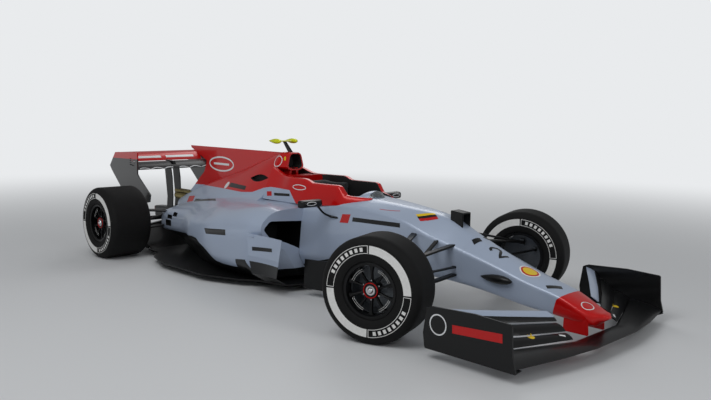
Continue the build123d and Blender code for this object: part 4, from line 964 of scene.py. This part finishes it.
for name, (width, side, end) in wheels.items():
    matrix = wheel_frame(side, end)
    half = width / 2
    body = f"{name}_wheel"
    wall = [(r, sidewall_s(r, half)) for r in wall_radii]
    profile = [(165, 0)] + wall + [(335, half * 0.5), (335, 0), (335, -half * 0.5)]
    profile += [(r, -s) for r, s in reversed(wall)]
    tyre = turned(f"{name}_slick", profile, matrix, rubber, 128)
    mount(tyre, body, f"{name}_tyre")
    bands = bmesh.new()
    for face in (1, -1):
        for start in (0, 180):
            box_start, box_end = start + 91, start + 179
            low_line, high_line = band_inner + band_line, band_outer - band_line
            pieces = [(band_inner, band_outer, start + 1, start + 89),
                      (high_line, band_outer, box_start, box_end),
                      (band_inner, low_line, box_start, box_end),
                      (low_line, high_line, box_start, box_start + 0.8),
                      (low_line, high_line, box_end - 0.8, box_end)]
            marks = [box_start + 20 + 8 * k for k in range(8)]
            for piece in pieces + [(246, 270, mark, mark + 4.5) for mark in marks]:
                band_patch(bands, matrix, half, face, *piece)
    band = place_mesh(f"{name}_bands", bands, band_white)
    face_outward(band, lambda middle: middle - matrix.translation)
    mount(band, body)

    spoke_s = half - 62
    barrel = [(rim_inner, 17 - half)] + [(r, s - half) for r, s in rim_lip]
    barrel += [(r, half - s) for r, s in reversed(rim_lip)]
    barrel += [(172, half - 15), (rim_inner, half - 20), (rim_inner, half - 44), (rim_inner, 0),
               (rim_inner, 44 - half)]
    rim_pieces = [turned(f"{name}_barrel", barrel, matrix, rim_black, 96)]
    for part, (profile, material, segments) in centre_pieces.items():
        profile = [(r, spoke_s + s) for r, s in profile]
        rim_pieces.append(turned(f"{name}_{part}", profile, matrix, material, segments))
    spoke_rings = []
    for r, w in ((46, 12), (60, 8), (90, 7.5), (120, 9), (140, 14), (153, 24)):
        rise = spoke_s + 12 * (r - 46) / 107
        outline = [(-w, rise - 8), (-w * 0.7, rise + 6), (0, rise + 9), (w * 0.7, rise + 6), (w, rise - 8)]
        spoke_rings.append([(r, u, v) for u, v in outline])
    one_spoke = shell("one_spoke", spoke_rings, rim_black)
    rim_pieces.append(copies_round(f"{name}_spokes", one_spoke, 10, rim_black, matrix))
    peg = bmesh.new()
    bmesh.ops.create_cone(peg, cap_ends=True, segments=12, radius1=4.5, radius2=3.6, depth=9,
                          matrix=Matrix.Translation((60, 0, spoke_s + 8)))
    peg_set = copies_round(f"{name}_drive_pegs", place_mesh("one_peg", peg, bright), 6, bright, matrix)
    arcs = bmesh.new()
    for start in (25, 115, 205, 295):
        for r, s in ((128, spoke_s + 18.5), (139, spoke_s + 20)):
            turns = [radians(start + 4 * k) for k in range(12)]
            line = [(r * cos(t), r * sin(t)) for t in turns]
            inner = [arcs.verts.new(matrix @ Vector((u * 0.985, v * 0.985, s))) for u, v in line]
            outer = [arcs.verts.new(matrix @ Vector((u, v, s))) for u, v in line]
            for k in range(11):
                arcs.faces.new((inner[k], inner[k + 1], outer[k + 1], outer[k]))
    rim_lines = place_mesh(f"{name}_rim_lines", arcs, band_white)
    face_outward(rim_lines, lambda middle: middle - matrix.translation)
    mount(rim_lines, body)
    mount(peg_set, body)
    for piece in rim_pieces:
        mount(piece, body, f"{name}_rim")

# Rear wing and tail: carbon planes between end plates that are painted red above a line, on two pylons from
# the gearbox, with the steel exhaust pipes and the rain light below.
plate_paint, tree, shader, place = new_material("rear_plate_red_over_carbon")
split = above_line(tree, place, [(-4300, 900), (-3950, 905), (-3690, 910), (-3400, 910)])
tint(tree, shader, split, "#0B0C0D", red)
set_shader(shader, Roughness=0.35, Coat_Weight=0.5, Coat_Roughness=0.08)
dress(plate_paint, "black_carbon", "rear_wing_end_plates")
dress(red_paint, "red_paint", "drs_flap")
dress(black_carbon, "black_carbon", "rear_wing_main_plane", "rear_wing_pylons")
exhaust_metal = speckled("heat_tinted_exhaust", "#6B5E3A", "#B3A46E", 14.0, 3.0, Metallic=1.0,
                         Roughness=0.32)
dress(exhaust_metal, "exhaust_steel", "exhaust")
lamp_red, tree, shader, place = new_material("red_lamp_lens")
cells = add(tree, "ShaderNodeTexVoronoi", {"Vector": place, "Scale": 90.0})
tint(tree, shader, cells.outputs["Distance"], "#5A0202", "#A00606")
set_shader(shader, Roughness=0.15, Coat_Weight=0.8)
dress(lamp_red, "lamp_red", "rain_light")

# Livery marks: thin lacquered stickers laid on the finished skins, which are plain bars, rings and discs, one
# digit and three flag stripes. Each is cut from coloured film and pressed on.
film_finishes = {
    # colour: film's hex colour, slot
    "white": ("#E4E6E8", "silver_paint"), "black": ("#030304", "black_carbon"),
    "red": ("#C00202", "red_paint"), "yellow": ("#E8C410", "camera_yellow"),
}
film_paints = {colour: car_paint(f"{colour}_film", finish[0]) for colour, finish in film_finishes.items()}
films = {colour: bmesh.new() for colour in film_finishes}
film_lift, longest_cell = 0.8, 0.08
skins = bmesh.new()
side_skins = [o for o in bpy.data.objects if o.name.endswith(("pod_skin", "_collar", "mirror_housing"))]
for piece in (nose_shell, tub_shell, cowl, shark_fin, intake_box, nodes["front_wing_end_plates"],
              nodes["sidepod_vanes"], nodes["rear_wing_main_plane"], nodes["front_wing_lower_flaps"],
              nodes["front_wing_top_flaps"], *side_skins):
    skin_mesh = piece.data.copy()
    skin_mesh.transform(piece.matrix_world)
    skins.from_mesh(skin_mesh)
skin_tree = BVHTree.FromBMesh(skins)
skins.free()
views = {
    # name: how a mark's two numbers and side give the start of a ray, and the ray's direction
    "flank": (lambda u, v, side: at(u, side * 1100, v), lambda side: Vector((0, -side, 0))),
    "top": (lambda u, v, side: at(u, side * v, 1500), lambda side: Vector((0, 0, -1))),
    "front": (lambda u, v, side: at(-800, side * u, v), lambda side: Vector((-1, 0, 0))),
    "tail": (lambda u, v, side: at(-3640, side * u, v), lambda side: Vector((-1, 0, 0))),
}


def press(view, side, u, v, tree_of_skins=skin_tree, lift=film_lift):
    """Point of a film on the skin where a ray meets it, lifted clear of the skin's facets."""
    start, direction = views[view]
    place, normal, _, _ = tree_of_skins.ray_cast(start(u, v, side), direction(side))
    return None if place is None else place + normal * (lift / 1000)


def fill(data, rows):
    """Faces between rows of pressed points; the film ends where the skin does."""
    made = [[data.verts.new(p) if p else None for p in row] for row in rows]
    for first, second in zip(made, made[1:]):
        for i in range(len(first) - 1):
            corners = (first[i], first[i + 1], second[i + 1], second[i])
            if not all(corners):
                continue
            if max((a.co - b.co).length for a, b in zip(corners, corners[1:])) < longest_cell:
                data.faces.new(corners)


def patch(colour, view, corners, sides=(1, -1), cells=(16, 6)):
    """Four-cornered film."""
    a, b, c, d = [Vector(p) for p in corners]
    for side in sides:
        rows = []
        for j in range(cells[1] + 1):
            left, right_end = a.lerp(d, j / cells[1]), b.lerp(c, j / cells[1])
            row_points = [left.lerp(right_end, i / cells[0]) for i in range(cells[0] + 1)]
            rows.append([press(view, side, *point) for point in row_points])
        fill(films[colour], rows)


def ribbon(colour, view, line, width, sides=(1, -1), closed=False):
    """Film of even width along a line."""
    path = [Vector(p) for p in line]
    for side in sides:
        rows = [[], [], []]
        for i, here in enumerate(path):
            ahead_point = path[(i + 1) % len(path)] if closed or i + 1 < len(path) else here
            back_point = path[i - 1] if closed or i else here
            run = (ahead_point - back_point).normalized()
            across = Vector((-run.y, run.x)) * width / 2
            for row, share in zip(rows, (-1, 0, 1)):
                row.append(press(view, side, *(here + across * share)))
        if closed:
            for row in rows:
                row.append(row[0])
        fill(films[colour], rows)


def oval(centre, half_u, half_v):
    """Points of an oval in a mark's own two numbers."""
    u, v = centre
    turns = [2 * pi * k / 40 for k in range(40)]
    return [(u + half_u * cos(turn), v + half_v * sin(turn)) for turn in turns]


def disc(colour, view, centre, half_u, half_v, sides=(1, -1), lift=film_lift):
    """Full round film."""
    for side in sides:
        rows = []
        for share in (0.02, 0.35, 0.7, 1.0):
            row = [press(view, side, *p, lift=lift) for p in oval(centre, half_u * share, half_v * share)]
            rows.append(row + [row[0]])
        fill(films[colour], rows)


ribbon("white", "flank", oval((-2912, 892), 200, 66), 15, closed=True)
patch("white", "flank", [(-3040, 902), (-2784, 902), (-2784, 882), (-3040, 882)])
disc("white", "flank", (-2630, 716), 34, 30)
patch("black", "flank", [(-2580, 744), (-2230, 744), (-2215, 712), (-2575, 708)])
patch("red", "top", [(-3352, 92), (-3205, 118), (-3180, 165), (-3328, 137)])
patch("black", "top", [(-3150, 150), (-2680, 232), (-2570, 300), (-3080, 212)])
patch("black", "flank", [(-2160, 424), (-1815, 456), (-1808, 410), (-2120, 382)])
patch("black", "flank", [(-1430, 372), (-1190, 390), (-1188, 362), (-1428, 342)])
patch("red", "flank", [(-1869, 731), (-1805, 737), (-1786, 701), (-1850, 695)])
patch("black", "flank", [(-1765, 728), (-1545, 740), (-1538, 720), (-1752, 706)])
ribbon("white", "flank", oval((-1436, 801), 80, 19), 6, closed=True)
patch("red", "flank", [(-926, 638), (-845, 643), (-866, 575), (-949, 571)])
patch("black", "flank", [(-821, 624), (-376, 628), (-374, 596), (-827, 592)], cells=(30, 4))
flag = [Vector(p) for p in ((-311, 120), (-196, 51), (-132, 83), (-247, 148))]
for k, colour in enumerate(("yellow", "black", "red")):
    (a, b), (d, c) = [(flag[0].lerp(flag[3], s), flag[1].lerp(flag[2], s)) for s in (k / 3, (k + 1) / 3)]
    patch(colour, "top", [a, b, c, d])
patch("black", "top", [(156, 78), (178, 20), (214, 34), (192, 96)])
digit = [(-0.9, 0.5), (-0.8, 0.8), (-0.45, 1.0), (0.2, 1.0), (0.7, 0.85), (0.85, 0.5), (0.65, 0.15),
         (-0.85, -1.0), (0.95, -1.0)]
digit_path = []
for (u0, v0), (u1, v1) in zip(digit, digit[1:]):
    digit_path += [(u0 + (u1 - u0) * k / 4, v0 + (v1 - v0) * k / 4) for k in range(4)]
digit_path.append(digit[-1])
digit_line = [(346 + 14 * u - 50 * v, 33 - 36 * u - 10 * v) for u, v in digit_path]
ribbon("black", "top", digit_line, 19, sides=(-1,))
disc("white", "top", (583, 20), 68, 68, sides=(-1,))
disc("red", "top", (583, 20), 58, 58, sides=(-1,), lift=1.4)
disc("yellow", "top", (583, 20), 46, 46, sides=(-1,), lift=2.0)
patch("black", "top", [(738, 82), (796, -8), (824, 20), (764, 104)], sides=(-1,))
ribbon("white", "top", oval((1002, 34), 34, 44), 6, sides=(-1,), closed=True)
ribbon("white", "flank", oval((550, 218), 58, 58), 8, closed=True)
patch("red", "flank", [(652, 240), (985, 262), (988, 212), (654, 192)])
disc("yellow", "top", (914, 509), 22, 22)
patch("white", "top", [(985, 330), (1010, 300), (1020, 306), (996, 336)])
ribbon("white", "flank", oval((-1908, 980), 44, 44), 7, closed=True)
patch("yellow", "flank", [(-1850, 1022), (-1832, 1022), (-1824, 990), (-1842, 990)])
ribbon("white", "front", oval((470, 721), 46, 12), 4, closed=True)
ribbon("red", "top", [(-600, 192), (-560, 182), (-517, 170), (-480, 158), (-443, 143)], 5)
scallops = [(y, 800 + 15 * abs(sin(pi * y / 150))) for y in range(40, 421, 10)]
ribbon("white", "tail", scallops, 6)
for colour, (_, slot_name) in film_finishes.items():
    film = place_mesh(f"{colour}_films", films[colour], film_paints[colour])
    face_outward(film, lambda middle: skin_tree.find_nearest(middle)[1])
    mount(film, "root")

flap = nodes["drs_flap"]
flap_tree = BVHTree.FromPolygons([flap.matrix_world @ v.co for v in flap.data.vertices],
                                 [list(p.vertices) for p in flap.data.polygons])
flap_film = bmesh.new()
for side in (1, -1):
    fill(flap_film, [[press("tail", side, 30 + 34 * i, z, flap_tree) for i in range(11)]
                     for z in (897, 904, 911, 918)])
behind_the_wing = at(-4200, 0, 860)
flap_bar = place_mesh("flap_bar", flap_film, film_paints["white"])
face_outward(flap_bar, lambda middle: middle - behind_the_wing)
mount(flap_bar, "moving_flap")

# Studio: a pale floor that fades into the backdrop, three soft lamps, and a camera that stands where the
# photograph was taken from.
floor_mesh = bmesh.new()
bmesh.ops.create_grid(floor_mesh, x_segments=1, y_segments=1, size=60)
studio_pale, tree, shader, place = new_material("studio_floor")
backdrop_colour = "#E9EBED"
set_shader(shader, Base_Color=linear("#D3D5D7"), Roughness=0.6)
distance = add(tree, "ShaderNodeVectorMath", {0: place}, operation="LENGTH").outputs["Value"]
far = add(tree, "ShaderNodeMapRange", {0: distance, 1: 2.6, 2: 12.0}, interpolation_type="SMOOTHSTEP")
glow = add(tree, "ShaderNodeEmission", {"Color": linear(backdrop_colour), "Strength": 1.0})
blended = add(tree, "ShaderNodeMixShader", {0: far.outputs[0], 1: shader.outputs[0], 2: glow.outputs[0]})
tree.links.new(blended.outputs[0], tree.nodes["Material Output"].inputs["Surface"])
studio_floor = place_mesh("studio_floor", floor_mesh, studio_pale)

world = bpy.data.worlds.new("studio")
bpy.context.scene.world = world
world.use_nodes = True
tree = world.node_tree
backdrop = tree.nodes["Background"]
backdrop.inputs[0].default_value = linear(backdrop_colour)
paths = add(tree, "ShaderNodeLightPath")
light_on_car, light_seen = 0.36, 1.0
strength = remap(tree, paths.outputs["Is Camera Ray"], 0.0, 1.0, light_on_car, light_seen)
tree.links.new(strength, backdrop.inputs[1])


def soft_lamp(name, place, aim, size, power):
    """Square soft box that points at a place."""
    data = bpy.data.lights.new(name, "AREA")
    data.size = size
    data.energy = power
    lamp = new_object(name, data)
    lamp.location = place
    lamp.rotation_mode = "QUATERNION"
    lamp.rotation_quaternion = (Vector(aim) - Vector(place)).to_track_quat("-Z", "Y")


soft_lamp("key", (1.5, -4.5, 6.0), (0, 0, 0.4), 4.0, 175)
soft_lamp("nose_side", (7.0, -0.5, 3.5), (0.5, 0, 0.4), 3.0, 60)
soft_lamp("back", (-4.0, 4.5, 5.0), (0, 0, 0.5), 4.0, 90)

yaw, pitch, roll = radians(45.59), radians(6.78), radians(0.76)
ahead = Vector((-sin(yaw) * cos(pitch), cos(yaw) * cos(pitch), -sin(pitch)))
right = Vector((cos(yaw), sin(yaw), 0))
above = right.cross(ahead)
level_right = right * cos(roll) + above * sin(roll)
level_up = above * cos(roll) - right * sin(roll)
camera_data = bpy.data.cameras.new("camera")
camera_data.sensor_width = 36.0
camera_data.lens = 37.78
camera = new_object("camera", camera_data)
turn = Matrix((level_right, level_up, -ahead)).transposed().to_4x4()
camera_place = (4.71066, -4.12884, 1.41628)
camera.matrix_world = Matrix.Translation(camera_place) @ turn
bpy.context.scene.camera = camera
bpy.context.scene.view_settings.view_transform = "Standard"
